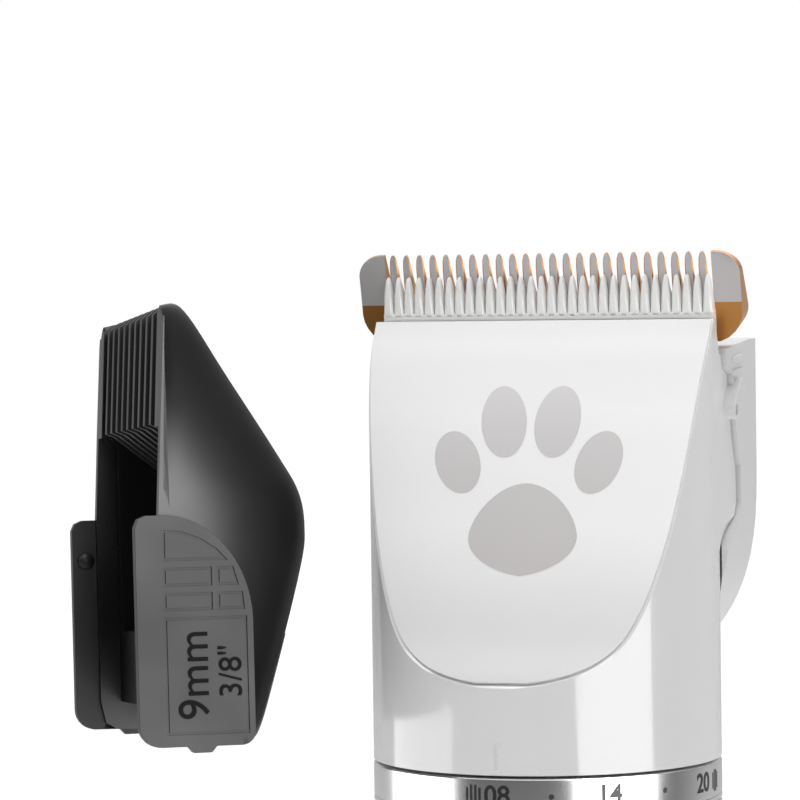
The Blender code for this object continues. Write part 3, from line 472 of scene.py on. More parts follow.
def headBody(name, inset, low, high):
    foot, rise = panelTop - headSize["morphLow"], headSize["morphLow"] - headSize["morphHigh"]
    middle = [foot + step * rise / 6 for step in range(7)]
    return loft(name, [headLoop(level, inset) for level in [low, *middle, high]], True)


# everything in front of the scooped face, moved inwards
def faceTool(inwards):
    line = shiftLine(faceLine(), -inwards)
    line[0] = line[0] + (line[0] - line[1]).normalized() * 8 * mm
    line[-1] = line[-1] + (line[-1] - line[-2]).normalized() * 4 * mm
    front = -40 * mm
    outline = [(front, line[0].y), *[tuple(point) for point in line], (front, line[-1].y)]
    return prism("faceTool", outline, "X", -30 * mm, 30 * mm)


def buildHead():
    bottom = ringTop + headSize["gap"]
    shell = headBody("headSkin", 0.0, bottom, panelTop)
    hollow = headBody("headHollow", headSize["wall"], bottom - 2 * mm, panelTop + 2 * mm)
    # the exact solver leaves the head's side walls uncut on some runs, this one cuts them every time
    carve(hollow, faceTool(headSize["faceBacking"]), solver="MANIFOLD")
    rear = cheekLine(0.0)
    foot = rear[-2].y - 0.01 * mm
    behind = 40 * mm
    outline = [tuple(point) for point in rear[:-1]]
    outline += [(rear[-2].x, foot), (behind, foot), (behind, panelTop + 5 * mm),
                (1.9 * mm, panelTop + 5 * mm), (1.9 * mm, panelTop - 1.6 * mm),
                (3.2 * mm, rear[0].y)]
    rearTool = prism("rearTool", outline, "X", -0.03, 0.03)
    carve(shell, faceTool(headSize["seam"]), hollow, rearTool, solver="MANIFOLD")
    soften(shell, 0.14 * mm)
    dress(shell, "whiteAbs", "clipper", ["head_shell"], 40)

    # thin printed face, laid over the scoop with a hairline seam
    line = faceLine(14)
    line = [line[0] + (line[1] - line[0]).normalized() * 0.12 * mm] + line[1:]
    radius = bodyRadius - 0.16 * mm
    across = 60
    under = shiftLine(line, -0.26 * mm)
    front, back = [], []
    for point, below in zip(line, under):
        if -point.x >= radius - 0.02 * mm:
            break
        half = math.sqrt(radius ** 2 - point.x ** 2)
        for side, spot, row in ((0, point, front), (1, below, back)):
            row.append([(half * math.sin(math.pi / 2 * (2 * step / across - 1)), spot.x, spot.y)
                        for step in range(across + 1)])
    rows = len(front)
    points = [point for row in front for point in row] + [point for row in back for point in row]
    wide = across + 1
    faces = []
    for level in range(rows - 1):
        for step in range(across):
            a = level * wide + step
            faces.append((a, a + 1, a + wide + 1, a + wide))
            b = a + rows * wide
            faces.append((b, b + wide, b + wide + 1, b + 1))
        for edge in (0, across):
            a = level * wide + edge
            b = a + rows * wide
            faces.append((a, a + wide, b + wide, b))
    for level in (0, rows - 1):
        for step in range(across):
            a = level * wide + step
            b = a + rows * wide
            faces.append((a, b, b + 1, a + 1))
    face = meshObject("printedFace", points, faces)
    dress(face, "faceAbs", "clipper", ["face_panel"], 40)

    # index line above the ring
    mark = prism("indexLine", [(-0.22 * mm, ringTop + 0.9 * mm), (0.22 * mm, ringTop + 0.9 * mm),
                               (0.22 * mm, ringTop + 3.9 * mm), (-0.22 * mm, ringTop + 3.9 * mm)],
                 "Y", -bodyRadius - 0.14 * mm, -bodyRadius + 0.3 * mm)
    turn = Matrix.Rotation(math.radians(-1.5), 4, "Z")
    mark.data.transform(turn)
    soften(mark, 0.08 * mm)
    dress(mark, "bracketAbs", "clipper")


# the point on the scooped face at that X and height, and the face's outward way there
def faceSpot(x, z):
    line = faceLine(24)
    for first, second in zip(line, line[1:]):
        if second.y <= z <= first.y:
            share = (first.y - z) / (first.y - second.y)
            spot = first.lerp(second, share)
            way = (second - first).normalized()
            return Vector((x, spot.x, z)), Vector((0, way.y, -way.x))
    return Vector((x, line[0].x, z)), Vector((0, -1, 0))


# generic paw print, one pad and four toes: centre X, drop from the top edge, half width, half
# height, tilt in degrees
pawPrint = dict(pads=((0.2, 23.8, 6.3, 5.2, 0), (-8.2, 16.2, 2.6, 3.7, 24), (-3.0, 11.6, 2.7, 4.1, 8),
                      (3.4, 11.6, 2.7, 4.1, -8), (8.6, 16.2, 2.6, 3.7, -24)), rise=0.03 * mm)


def buildPawPrint():
    for number, (x, down, halfWide, halfHigh, tilt) in enumerate(pawPrint["pads"]):
        rings, sides = 8, 56
        points, faces = [], []
        for ringStep in range(rings + 1):
            for index in range(sides):
                turn = 2 * math.pi * index / sides
                share = ringStep / rings
                wide = halfWide * share * math.cos(turn)
                high = halfHigh * share * math.sin(turn)
                if number == 0:      # the big pad is broader below, with a shallow dip
                    wide *= 1 - 0.22 * math.sin(turn)
                    high *= 1 - 0.18 * abs(math.cos(turn)) * (1 if math.sin(turn) < 0 else 0)
                lean = math.radians(tilt)
                px = x + wide * math.cos(lean) - high * math.sin(lean)
                pz = -down + wide * math.sin(lean) + high * math.cos(lean)
                spot, way = faceSpot(px * mm, panelTop + pz * mm)
                points.append(tuple(spot + way * pawPrint["rise"]))
        for ringStep in range(rings):
            for index in range(sides):
                after = (index + 1) % sides
                a = ringStep * sides
                faces.append((a + index, a + sides + index, a + sides + after, a + after))
        pad = meshObject(f"pawPad{number + 1}", points, faces)
        change = pad.modifiers.new("weld", "WELD")
        change.merge_threshold = 0.00002
        freeze(pad)
        shape = bmesh.new()
        shape.from_mesh(pad.data)
        if sum(face.normal.y for face in shape.faces) > 0:
            bmesh.ops.reverse_faces(shape, faces=shape.faces)
        shape.to_mesh(pad.data)
        shape.free()
        dress(pad, "printGrey", "clipper")


buildHead()
buildPawPrint()
print("head made")


bladeSize = dict(width=46.2 * mm, height=18 * mm, flank=11 * mm, tip=0.6 * mm, thick=4.2 * mm,
                 tang=2.2 * mm, teeth=24, pitch=1.63 * mm, slot=0.5 * mm, toothLong=6.9 * mm,
                 corner=2.6 * mm, wedge=9.2 * mm, screwHalf=10.5 * mm, screwRise=2.6 * mm)
cutterSize = dict(width=40.0 * mm, drop=2.6 * mm, height=11.4 * mm, thick=1.6 * mm, gap=0.15 * mm,
                  teeth=32, pitch=1.25 * mm, toothLong=4.2 * mm, neck=16.7 * mm)


def bladeThickness(down):
    return bladeSize["tip"] + (bladeSize["thick"] - bladeSize["tip"]) * down / bladeSize["wedge"]


def buildFixedBlade():
    size = bladeSize
    half, corner = size["width"] / 2, size["corner"]
    tang = bodyRadius - headSize["wall"] - 0.6 * mm
    right = []
    for step in range(13):
        turn = math.pi / 2 * (1 - step / 12)
        right.append((half - corner * 1.2 + corner * 1.2 * max(math.cos(turn), 0.0) ** 0.9,
                      -corner + corner * math.sin(turn)))
    right += [(half - inside * mm, -down * mm) for inside, down in
              ((0, 7.3), (0.12, 8.1), (0.45, 8.9), (1.0, 9.7), (1.8, 10.4), (2.8, 10.85))]
    right += [(tang, -size["flank"]), (tang, -size["height"])]
    reach = (size["teeth"] * size["pitch"] + size["slot"]) / 2
    right = [(reach, -size["toothLong"]), (reach, 0.0)] + right
    outline = right + [(-x, z) for x, z in reversed(right)]
    profile = [(0.0, 0.0), (size["tip"], 0.0), (size["thick"], -size["wedge"]),
               (size["thick"] - 0.1 * mm, -size["wedge"] - mm), (size["thick"] - 0.7 * mm, -size["flank"]),
               (size["tang"], -size["flank"] - 0.3 * mm), (size["tang"], -size["height"]),
               (0.0, -size["height"])]
    plate = prism("combBladePlate", profile, "X", -half - mm, half + mm)
    carve(plate, prism("outlineTool", outline, "Y", -2 * mm, 8 * mm), operation="INTERSECT")
    holes = [rodAlong("screwHole", radius, "Y", -5 * mm, depth,
                      (side * size["screwHalf"], -size["height"] + size["screwRise"]))
             for side in (-1, 1) for radius, depth in ((1.4 * mm, 9 * mm), (2.0 * mm, 1.6 * mm))]
    carve(plate, *holes)
    soften(plate, 0.16 * mm, 2, 30)
    plate.data.transform(bladeFrame)
    dress(plate, "coatedSteel", "blade_set", ["fixed_blade"], 28)

    # one tooth, wedge-shaped and round-nosed, repeated across the blade
    halfTooth = (size["pitch"] - size["slot"]) / 2
    loops = []
    for down, share, slim in ((7.3, 1.0, 0.9), (5.0, 0.98, 0.5), (3.0, 0.94, 0.34),
                              (1.6, 0.88, 0.34), (0.75, 0.76, 0.4), (0.3, 0.56, 0.5),
                              (0.08, 0.34, 0.6), (0.0, 0.14, 0.6)):
        wide = halfTooth * share
        thin = wide * slim      # the flanks close in towards the back, as they are ground
        back = bladeThickness(down * mm) * (0.55 + 0.45 * min(share * 1.2, 1.0))
        ease = 0.13 * mm
        z = -down * mm
        loops.append([(-wide + ease * share, 0, z), (wide - ease * share, 0, z),
                      (wide, ease, z), (thin, back - ease * 0.5, z), (thin * 0.8, back, z),
                      (-thin * 0.8, back, z), (-thin, back - ease * 0.5, z), (-wide, ease, z)])
    teeth = rowOf("combBladeTeeth", loft("toothPart", loops), size["teeth"], size["pitch"],
                  "coatedSteel", bladeFrame)
    dress(teeth, "coatedSteel", "blade_set", sharp=38)


def buildCutter():
    size = cutterSize
    low = -size["drop"] - size["height"]
    waist = -size["drop"] - 5.6 * mm
    root = -size["drop"] - size["toothLong"]
    half, neck = size["width"] / 2, size["neck"]
    front, back = -size["gap"] - size["thick"], -size["gap"]
    outline = [(neck, low), (neck, waist), (half, waist), (half, root)]
    outline += [(-x, z) for x, z in reversed(outline)]
    plate = prism("cutterPlate", outline, "Y", front, back)
    soften(plate, 0.12 * mm)
    plate.data.transform(bladeFrame)
    dress(plate, "zirconia", "cutter", ["moving_blade"])
    loops = []
    for down, wide, out in ((4.5, 0.58, 1.0), (3.9, 0.56, 1.0), (2.0, 0.44, 0.86), (0.6, 0.28, 0.62),
                            (0.15, 0.18, 0.5), (0.0, 0.08, 0.42)):
        z = -size["drop"] - down * mm
        y = back - size["thick"] * out
        wide *= mm
        loops.append([(-wide, back, z), (wide, back, z), (wide, y + 0.25 * mm, z),
                      (wide * 0.55, y, z), (-wide * 0.55, y, z), (-wide, y + 0.25 * mm, z)])
    teeth = rowOf("cutterTeeth", loft("cutterToothPart", loops), size["teeth"], size["pitch"],
                  "zirconia", bladeFrame)
    dress(teeth, "zirconia", "cutter", sharp=40)


bracketSize = dict(half=21.0 * mm, back=23.2 * mm, bottomRise=7.9 * mm, curve=25.0 * mm,
                   round=3.0 * mm, wall=1.8 * mm, full=0.77)    # full: squareness of the lower curve


def bracketOutline(inset, steps=40):
    half = bracketSize["half"] - inset
    curve = bracketSize["curve"] - inset
    spring = ringTop + bracketSize["bottomRise"] + bracketSize["curve"]
    top = panelTop - 2.6 * mm
    outline = [(half, top)]
    for step in range(steps + 1):
        turn = math.pi * step / steps
        across, down = math.cos(turn), math.sin(turn)
        outline.append((math.copysign(half * abs(across) ** bracketSize["full"], across),
                        spring - curve * max(down, 0.0) ** bracketSize["full"]))
    return outline + [(-half, top)]


def buildBracket():
    size = bracketSize
    loops = []
    for y, inset in [(2 * mm, 0.0)] + [
            (size["back"] - size["round"] * (1 - math.sin(turn)), size["round"] * (1 - math.cos(turn)))
            for turn in [math.pi / 2 * step / 8 for step in range(9)]]:
        loops.append([(x, y, z) for x, z in bracketOutline(inset)])
    bracket = loft("bladeHolder", loops)
    hollow = prism("hollowTool", bracketOutline(size["wall"]), "Y", -5 * mm,
                   size["back"] - size["wall"] - 1.2 * mm)
    seat = panelTop - 10.2 * mm
    carve(hollow, prism("seatTool", [(-0.03, -0.03), (0.03, -0.03), (0.03, 0.03), (-0.03, 0.03)],
                        "Z", seat, panelTop))
    edge = cheekLine(headSize["gap"])
    outline = [(-30 * mm, panelTop + 5 * mm), (-30 * mm, edge[-1].y)]
    outline += [tuple(point) for point in reversed(edge)]
    outline += [(edge[0].x, edge[0].y + 0.7 * mm), (17.0 * mm, panelTop - 2.7 * mm),
                (30 * mm, panelTop - 2.6 * mm), (30 * mm, panelTop + 5 * mm)]
    sideTool = prism("sideTool", outline, "X", -0.03, 0.03)
    bore = rodAlong("boreTool", bodyRadius + 0.4 * mm, "Z", 0.1, panelTop - 25 * mm, (0, 0), 192)
    flank, height = bladeSize["flank"], bladeSize["height"]
    thick, tang, gap = bladeSize["thick"], bladeSize["tang"], headSize["gap"]
    tangLine = [(-9 * mm, -flank + 3 * mm), (thick + gap, -flank + 3 * mm), (thick + gap, -flank - gap),
                (tang + gap, -flank - 2 * gap), (tang + gap, -height - 3 * mm),
                (-9 * mm, -height - 3 * mm)]
    recess = prism("recessTool", tangLine, "X", -bodyRadius + 1.8 * mm, bodyRadius - 1.8 * mm)
    rim = [(-4 * mm, -flank + 6 * mm), (thick + 2 * mm, -flank + 6 * mm),
           (thick + 2 * mm, -flank + 0.2 * mm), (thick, -flank - gap), (-4 * mm, -flank - gap)]
    room = prism("roomTool", rim, "X", -0.03, 0.03)
    for tool in (recess, room):
        tool.data.transform(bladeFrame)
    carve(bracket, hollow, sideTool, bore, recess, room)
    mergeFlats(bracket.data)
    dress(bracket, "bracketAbs", "blade_set", ["blade_bracket"], 30)

    # snap lug and ledges on both sides, where the holder clips to the head
    for side, label in ((-1, "Left"), (1, "Right")):
        low, high = sorted((side * (bodyRadius - 0.2 * mm), side * (bodyRadius + 1.5 * mm)))
        ends = (Vector((9.0 * mm, panelTop - 8.3 * mm)), Vector((5.9 * mm, panelTop - 10.6 * mm)))
        way = (ends[1] - ends[0]).normalized()
        across = Vector((-way.y, way.x))
        lug = []
        for end, first in ((ends[0], 90), (ends[1], -90)):
            for step in range(9):
                turn = math.radians(first + step * 22.5)
                lug.append(tuple(end + (way * math.cos(turn) + across * math.sin(turn)) * 1.25 * mm))
        piece = prism("snapLug" + label, lug, "X", low, high)
        pit = rodAlong("pitTool", 0.75 * mm, "X", low - mm, high + mm, tuple(ends[1] + way * 0.2 * mm))
        carve(piece, pit)
        soften(piece, 0.3 * mm, 3, 50)
        dress(piece, "bracketAbs", "blade_set")
        for number, drop in enumerate((4.6, 6.2)):
            low, high = sorted((side * (bodyRadius + 0.4 * mm), side * (bodyRadius + 0.95 * mm)))
            ledge = prism(f"ledge{label}{number + 1}",
                          [(7.2 * mm, panelTop - drop * mm), (12.4 * mm, panelTop - (drop - 0.3) * mm),
                           (12.4 * mm, panelTop - (drop + 0.35) * mm),
                           (7.2 * mm, panelTop - (drop + 0.65) * mm)], "X", low, high)
            soften(ledge, 0.12 * mm)
            dress(ledge, "bracketAbs", "blade_set")


buildFixedBlade()
buildCutter()
buildBracket()
print("blade set made")


ringSize = dict(groove=0.22 * mm, chamfer=0.35 * mm, inner=1.9 * mm, print=0.02 * mm,
                digit=3.1 * mm, marks=(("08", -1.5), ("14", 35.0), ("20", 76.0)),
                dots=(16.0, 55.5))


# bends a flat X-Z mark round the ring, its middle at that angle from the front
def wrapOnRing(piece, angle, height):
    radius = bodyRadius + ringSize["print"]
    for vertex in piece.data.vertices:
        x, y, z = vertex.co
        turn = math.radians(angle) + x / radius
        out = radius + y
        vertex.co = (out * math.sin(turn), -out * math.cos(turn), height + z)
    return piece


# a thin plate from an X-Z outline
def flatMark(name, outline):
    return prism(name, outline, "Y", -0.02 * mm, 0.0)


def textPlate(name, text, size, bold=0.0):
    curve = bpy.data.curves.new(name, "FONT")
    curve.body = text
    curve.size = size
    curve.align_x = "CENTER"
    curve.align_y = "CENTER"
    curve.extrude = 0.01 * mm
    curve.offset = size * bold      # how much heavier the strokes are
    holder = bpy.data.objects.new(name, curve)
    bpy.context.scene.collection.objects.link(holder)
    bpy.context.view_layer.update()
    mesh = bpy.data.meshes.new_from_object(holder.evaluated_get(bpy.context.evaluated_depsgraph_get()))
    bpy.data.objects.remove(holder, do_unlink=True)
    piece = bpy.data.objects.new(name, mesh)
    bpy.context.scene.collection.objects.link(piece)
    shape = bmesh.new()
    shape.from_mesh(mesh)
    bmesh.ops.remove_doubles(shape, verts=shape.verts, dist=0.000001)
    bmesh.ops.recalc_face_normals(shape, faces=shape.faces)
    shape.to_mesh(mesh)
    shape.free()
    mesh.transform(Matrix.Rotation(math.radians(90), 4, "X"))
    return piece


def buildRing():
    size = ringSize
    low, high = ringLow[2], ringTop
    outer = bodyRadius
    inner = outer - size["inner"]
    cham = size["chamfer"]
    grooveZ = low + 0.75 * mm
    profile = [(inner, high), (outer - cham, high), (outer - cham * 0.3, high - cham * 0.3),
               (outer, high - cham), (outer, grooveZ + 0.18 * mm),
               (outer - size["groove"], grooveZ + 0.1 * mm), (outer - size["groove"], grooveZ - 0.1 * mm),
               (outer, grooveZ - 0.18 * mm), (outer, low + cham * 0.6),
               (outer - cham * 0.6, low), (inner, low)]
    band = ring("chromeRing", profile, 256)
    dress(band, "satinChrome", "ring", ["length_ring"], 30)
    middle = (low + high) / 2 + 0.3 * mm
    for text, angle in size["marks"]:
        piece = wrapOnRing(textPlate("mark" + text, text, size["digit"], 0.02), angle, middle)
        dress(piece, "printBlack", "ring")
    for number, angle in enumerate(size["dots"]):
        outline = [(0.32 * mm * math.cos(t), 0.32 * mm * math.sin(t))
                   for t in [2 * math.pi * i / 16 for i in range(16)]]
        piece = wrapOnRing(flatMark(f"markDot{number + 1}", outline), angle, middle)
        dress(piece, "printBlack", "ring")
    # comb sign: a bar with three teeth, at both ends of the scale
    for place, start in (("Low", -9.5), ("High", 86.0)):
        for number in range(4):
            x = (number - 1.5) * 0.52 * mm
            tall = 1.25 * mm if number in (1, 2) else 0.95 * mm
            outline = [(x - 0.15 * mm, -tall), (x + 0.15 * mm, -tall), (x + 0.15 * mm, tall),
                       (x - 0.15 * mm, tall)]
            piece = wrapOnRing(flatMark(f"combSign{place}{number + 1}", outline), start, middle)
            dress(piece, "printBlack", "ring")


buildRing()
print("ring made")


# points the corner normals of the outer faces straight out from the axis
def roundNormals(mesh):
    ways = [Vector(corner.vector) for corner in mesh.corner_normals]
    for face in mesh.polygons:
        outwards = Vector((face.center.x, face.center.y, 0)).normalized()
        if face.normal.dot(outwards) < 0.97:
            continue
        for corner in face.loop_indices:
            spot = mesh.vertices[mesh.loops[corner].vertex_index].co
            rise = ways[corner].z
            flat = Vector((spot.x, spot.y, 0)).normalized() * math.sqrt(1 - min(rise * rise, 1))
            ways[corner] = flat + Vector((0, 0, rise))
    mesh.normals_split_custom_set(ways)


# a merged, softened copy of a CAD node that stands for it
def refine(node, finish, bevel=0.0, sharp=34):
    source = frame["nodes"][node]
    mesh = source.data.copy()
    piece = bpy.data.objects.new(node + "Skin", mesh)
    bpy.context.scene.collection.objects.link(piece)
    mergeFlats(mesh)
    if bevel:
        soften(piece, bevel, 2, 40)
    dress(piece, finish, source["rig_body"], [node], sharp)
    if node in ("handle_front", "handle_back", "end_cap"):
        roundNormals(piece.data)


refined = {
    "handle_front": ("whiteAbs", "white_body", 0.2), "handle_back": ("whiteAbs", "white_body", 0.2),
    "end_cap": ("whiteAbs", "white_body", 0.25), "power_button": ("satinChrome", "satin_chrome", 0.45),
    "lamp_lens": ("lens", "clear_lens", 0.2), "shell_screw_upper": ("brightSteel", "bright_steel", 0.15),
    "shell_screw_lower": ("brightSteel", "bright_steel", 0.15),
    "blade_screw_left": ("brightSteel", "bright_steel", 0.1),
    "blade_screw_right": ("brightSteel", "bright_steel", 0.1),
    "cutter_guide": ("greyNylon", "grey_nylon", 0.15), "cutter_fork": ("greyNylon", "grey_nylon", 0.2),
    "blade_spring": ("brightSteel", "bright_steel", 0.08),
    "lift_collar": ("greyNylon", "grey_nylon", 0.2), "drive_cam": ("turnedBrass", "brass_cam", 0.15),
    "motor_plate": ("brightSteel", "bright_steel", 0.1), "motor": ("brightSteel", "bright_steel", 0.3),
    "charging_socket": ("blackPart", "black_part", 0.15),
    "charging_pin": ("brightSteel", "bright_steel", 0.1),
}
for node, (finish, slotName, bevel) in refined.items():
    refine(node, finish, bevel * mm)

plain = {
    "chassis": "greyNylon", "cam_sleeve": "greyNylon", "click_spring": "brightSteel",
    "motor_screw_left": "brightSteel", "motor_screw_right": "brightSteel",
    "motor_shaft": "brightSteel", "circuit_board": "board", "power_switch": "blackPart",
    "battery": "cellWrap", "battery_tab_lower": "brightSteel", "battery_tab_upper": "brightSteel",
    "motor_lead_left": "redWire", "motor_lead_right": "blackPart",
}
for node, finish in plain.items():
    target = frame["nodes"][node]
    target.data.materials.clear()
    target.data.materials.append(finishes[finish])
print("inner pieces dressed")


combSize = dict(apex=(-0.0472, -0.0146, 0.1696), turn=-60.6, roll=-4.0, wall=1.5 * mm,
                height=49.4 * mm, skin=2.2 * mm, rib=1.3 * mm, pitch=4.3 * mm, slots=10,
                leg=1.4 * mm, ribDepth=5.5 * mm)
combFrame = (Matrix.Translation(combSize["apex"])
             @ Matrix.Rotation(math.radians(combSize["turn"]), 4, "Z")
             @ Matrix.Rotation(math.radians(combSize["roll"]), 4, "Y"))


# the comb's outer side line, peak to foot: Y is depth, Z is up
def combSkinLine(steps=6):
    points = ((1.2, -1.1), (2.9, 0.0), (4.9, -1.5), (9.0, -8.2), (14.5, -17.1), (16.9, -21.5),
              (17.5, -25.6), (16.9, -30.0), (13.7, -41.5), (11.6, -48.0), (10.2, -49.4))
    return smoothCurve([(y * mm, z * mm) for y, z in points], steps)


# depth of the side walls' front edge at a height
def combFront(z):
    return 1.2 * mm * max(0.0, 1 + z / (24 * mm))


# the comb's outer shape or its inside: slightly crowned side walls that turn into the skin
def combBlock(name, half, round, depth, inset, crown=0.0):
    skin = shiftLine(combSkinLine(), inset)
    front = [Vector((2.0 * mm, -49.4 * mm)), Vector((0.6 * mm, -48.6 * mm)),
             Vector((0.0, -46.0 * mm)), Vector((0.0, -24.0 * mm)),
             Vector((combFront(-13.5 * mm), -13.5 * mm))]
    loops = []
    sections = []
    for step in range(9):
        share = step / 8
        sections.append((-half + crown * (1 - share) ** 2, depth + (16 * mm - depth) * share))
    sections.reverse()
    # the rounding starts at the slope that the crowned wall ends with
    slope = 2 * crown / (16 * mm - depth) * depth / (round - crown)
    start = math.acos(slope / (1 - slope))
    for step in range(1, 13):
        turn = start * (1 - step / 12)
        sections.append((-half + crown + (round - crown) * (1 - math.sin(turn) / math.sin(start)),
                         depth * (1 - math.cos(turn)) / (1 - math.cos(start))))
    sections += [(-x, pull) for x, pull in reversed(sections)]
    for x, pull in sections:
        line = []
        for point in skin:
            least = combFront(point.y)
            deep = point.x - least
            pulled = least + deep * (1 - min(pull / max(deep, 0.1 * mm), 0.97))
            sink = min(pull / depth, 1) * 1.6 * mm * max(0.0, 1 + point.y / (14 * mm))
            line.append((x, pulled, point.y - sink))
        loops.append(line + [(x, point.x, point.y) for point in front])
    return loft(name, loops)


# the clip-on leg on each side, quarter-round at the top, with a small tab at its foot
def legOutline(steps=20):
    low, high = -combSize["height"], -combSize["height"] + 25.6 * mm
    front, back = -2.9 * mm, 10.1 * mm
    corner = 2.4 * mm
    outline = [(front, high - 1.3 * mm),
               (front + 0.4 * mm, high - 0.4 * mm), (front + 1.3 * mm, high),
               (front + 3 * mm, high)]
    for step in range(1, steps + 1):
        turn = math.pi / 2 * (1 - step / steps)
        outline.append((front + 3 * mm + (back - front - 3 * mm) * math.cos(turn),
                        high - 12 * mm + 12 * mm * math.sin(turn)))
    foot = [(math.cos(math.pi / 16 * step), math.sin(math.pi / 16 * step)) for step in range(9)]
    outline += [(back - 1.6 * mm * (1 - across), low + 1.6 * mm * (1 - down)) for across, down in foot]
    outline += [(front + 8.6 * mm, low), (front + 8.0 * mm, low - 0.7 * mm),
                (front + 6.0 * mm, low - 0.7 * mm), (front + 5.4 * mm, low)]
    outline += [(front + corner * (1 - across), low + corner * (1 - down))
                for across, down in reversed(foot)]
    return outline


# the outline moved inwards by a distance; its points run either way round
def shrink(outline, distance):
    area = sum(a[0] * b[1] - b[0] * a[1] for a, b in zip(outline, outline[1:] + outline[:1]))
    way = 1 if area > 0 else -1
    moved = []
    for index, here in enumerate(outline):
        before, after = Vector(outline[index - 1]), Vector(outline[(index + 1) % len(outline)])
        here = Vector(here)
        first, second = (here - before).normalized(), (after - here).normalized()
        normals = [Vector((-edge.y, edge.x)) * way for edge in (first, second)]
        middle = (normals[0] + normals[1]).normalized()
        moved.append(tuple(here + middle * distance / max(middle.dot(normals[0]), 0.3)))
    return moved


# engraved outlines on the legs, millimetres above the foot and behind the walls' front edge
legPanels = [((0.1, 20.5), (0.1, 24.0), (2.2, 23.8), (4.4, 23.0), (6.2, 21.8), (7.4, 20.5)),
             ((0.1, 17.7), (5.6, 17.7), (5.6, 19.8), (0.1, 19.8)),
             ((6.1, 17.7), (8.6, 17.7), (8.0, 19.8), (6.1, 19.8)),
             ((0.1, 15.0), (5.6, 15.0), (5.6, 17.0), (0.1, 17.0)),
             ((6.1, 15.0), (9.2, 15.0), (9.0, 17.0), (6.1, 17.0)),
             ((0.1, 1.3), (9.4, 1.3), (9.4, 14.3), (0.1, 14.3))]


def buildComb():
    size = combSize
    inner = bladeSize["width"] / 2 + 0.5 * mm
    outer = inner + size["wall"]
    skin = combSkinLine()
    body = combBlock("guideCombBody", outer, 5.0 * mm, 7.7 * mm, 0.0, 0.9 * mm)
    hollow = combBlock("combHollow", inner, 5.0 * mm, 6.4 * mm, size["skin"])
    keep = [(-8 * mm, -13.5 * mm), (1.5 * mm, -13.9 * mm), (14 * mm, -17.5 * mm),
            (30 * mm, -17.5 * mm), (30 * mm, -60 * mm), (-8 * mm, -60 * mm)]
    carve(hollow, prism("keepTool", keep, "X", -0.04, 0.04), operation="INTERSECT")
    mouth = [(-8 * mm, -13.5 * mm), (1.5 * mm, -13.9 * mm), (2.5 * mm, -15 * mm),
             (2.5 * mm, -46 * mm), (8.6 * mm, -47 * mm), (8.0 * mm, -56 * mm), (-8 * mm, -56 * mm)]
    opening = prism("mouthTool", mouth, "X", -inner, inner)
    span = size["slots"] * size["pitch"] - size["rib"]
    window = prism("combWindow", [(-0.02, -size["height"] + 12 * mm), (0.04, -size["height"] + 12 * mm),
                                  (0.04, 0.01), (-0.02, 0.01)], "X", -span / 2, span / 2)
    carve(body, hollow, opening, window)
    body.data.transform(combFrame)
    dress(body, "shadedCombNylon", "comb", ["guide_comb"], 42)

    # one rib, repeated between the side walls
    foot = -size["height"] + 10 * mm
    outerLine = [point for point in skin if point.y > foot]
    innerLine = [point for point in shiftLine(skin, size["ribDepth"])
                 if foot < point.y < -20 * mm and point.x > 4 * mm]
    outline = [tuple(p) for p in outerLine] + [tuple(p) for p in reversed(innerLine)]
    outline += [(1.5 * mm, -13.9 * mm), (combFront(-13.5 * mm), -13.5 * mm)]
    rib = prism("ribPart", outline, "X", -size["rib"] / 2, size["rib"] / 2)
    soften(rib, 0.25 * mm, 2, 50)
    ribs = rowOf("guideCombRibs", rib, size["slots"] - 1, size["pitch"], "blackNylon", combFrame)
    dress(ribs, "blackNylon", "comb", sharp=40)

    base = -size["height"]
    for side, label in ((-1, "Far"), (1, "Near")):
        near, face = side * (outer - 0.4 * mm), side * (outer + size["leg"])
        leg = prism("combLeg" + label, legOutline(), "X", min(near, face), max(near, face))
        soften(leg, 0.3 * mm, 3, 35)
        sink = face - side * 0.3 * mm
        flush = face - side * 0.04 * mm
        tools, plates = [], []
        for panel in legPanels:
            outline = [(y * mm, base + z * mm) for y, z in panel]
            tools.append(prism("grooveTool", outline, "X", *sorted((sink, face + side * mm))))
            plates.append(prism("panelPlate", shrink(outline, 0.34 * mm), "X",
                                *sorted((sink - side * 0.3 * mm, flush))))
        carve(leg, *tools)
        carve(leg, *plates, operation="UNION")
        leg.data.transform(combFrame)
        dress(leg, "blackNylon", "comb", sharp=35)
        # nub inside the leg, that catches the holder
        nub = ball("legNub" + label, 1.1 * mm, (side * (outer - 0.2 * mm), -1.3 * mm, base + 20.6 * mm))
        nub.data.transform(combFrame)
        dress(nub, "blackNylon", "comb")
        # size marks, raised on the largest panel, read with the foot at the left
        for text, y, z, height in (("9mm", 3.4, 7.9, 4.9), ('3/8"', 7.5, 8.2, 3.6)):
            plate = textPlate("sizeMark" + label + text[0], text, height * mm)
            plate.data.transform(Matrix.Scale(26, 4, (0, 1, 0)))
            turned = Matrix.Rotation(math.radians(90 * side), 4, "Z") @ Matrix.Rotation(
                math.radians(-90), 4, "Y")
            spot = Matrix.Translation((flush, y * mm, base + z * mm))
            plate.data.transform(combFrame @ spot @ turned)
            dress(plate, "shadedLetterNylon", "comb")


before = {piece.name for piece in bpy.context.scene.objects}
buildComb()
combPieces = {piece.name for piece in bpy.context.scene.objects} - before | {"guide_comb"}
print("comb made")


# softboxes that show as bright bands on the gloss white and the chrome, and a narrow one for the
# comb alone: azimuth, width, height, strength, on the comb, point aimed at
softboxes = {
    "rightBand": (60.5, 0.66, 1.2, 6.0, False, (0, 0, 0.13)),
    "leftBand": (-77, 0.7, 1.2, 3.3, False, (0, 0, 0.13)),
    "combBand": (39, 0.3, 0.5, 20.0, True, (-0.035, -0.03, 0.12)),
}


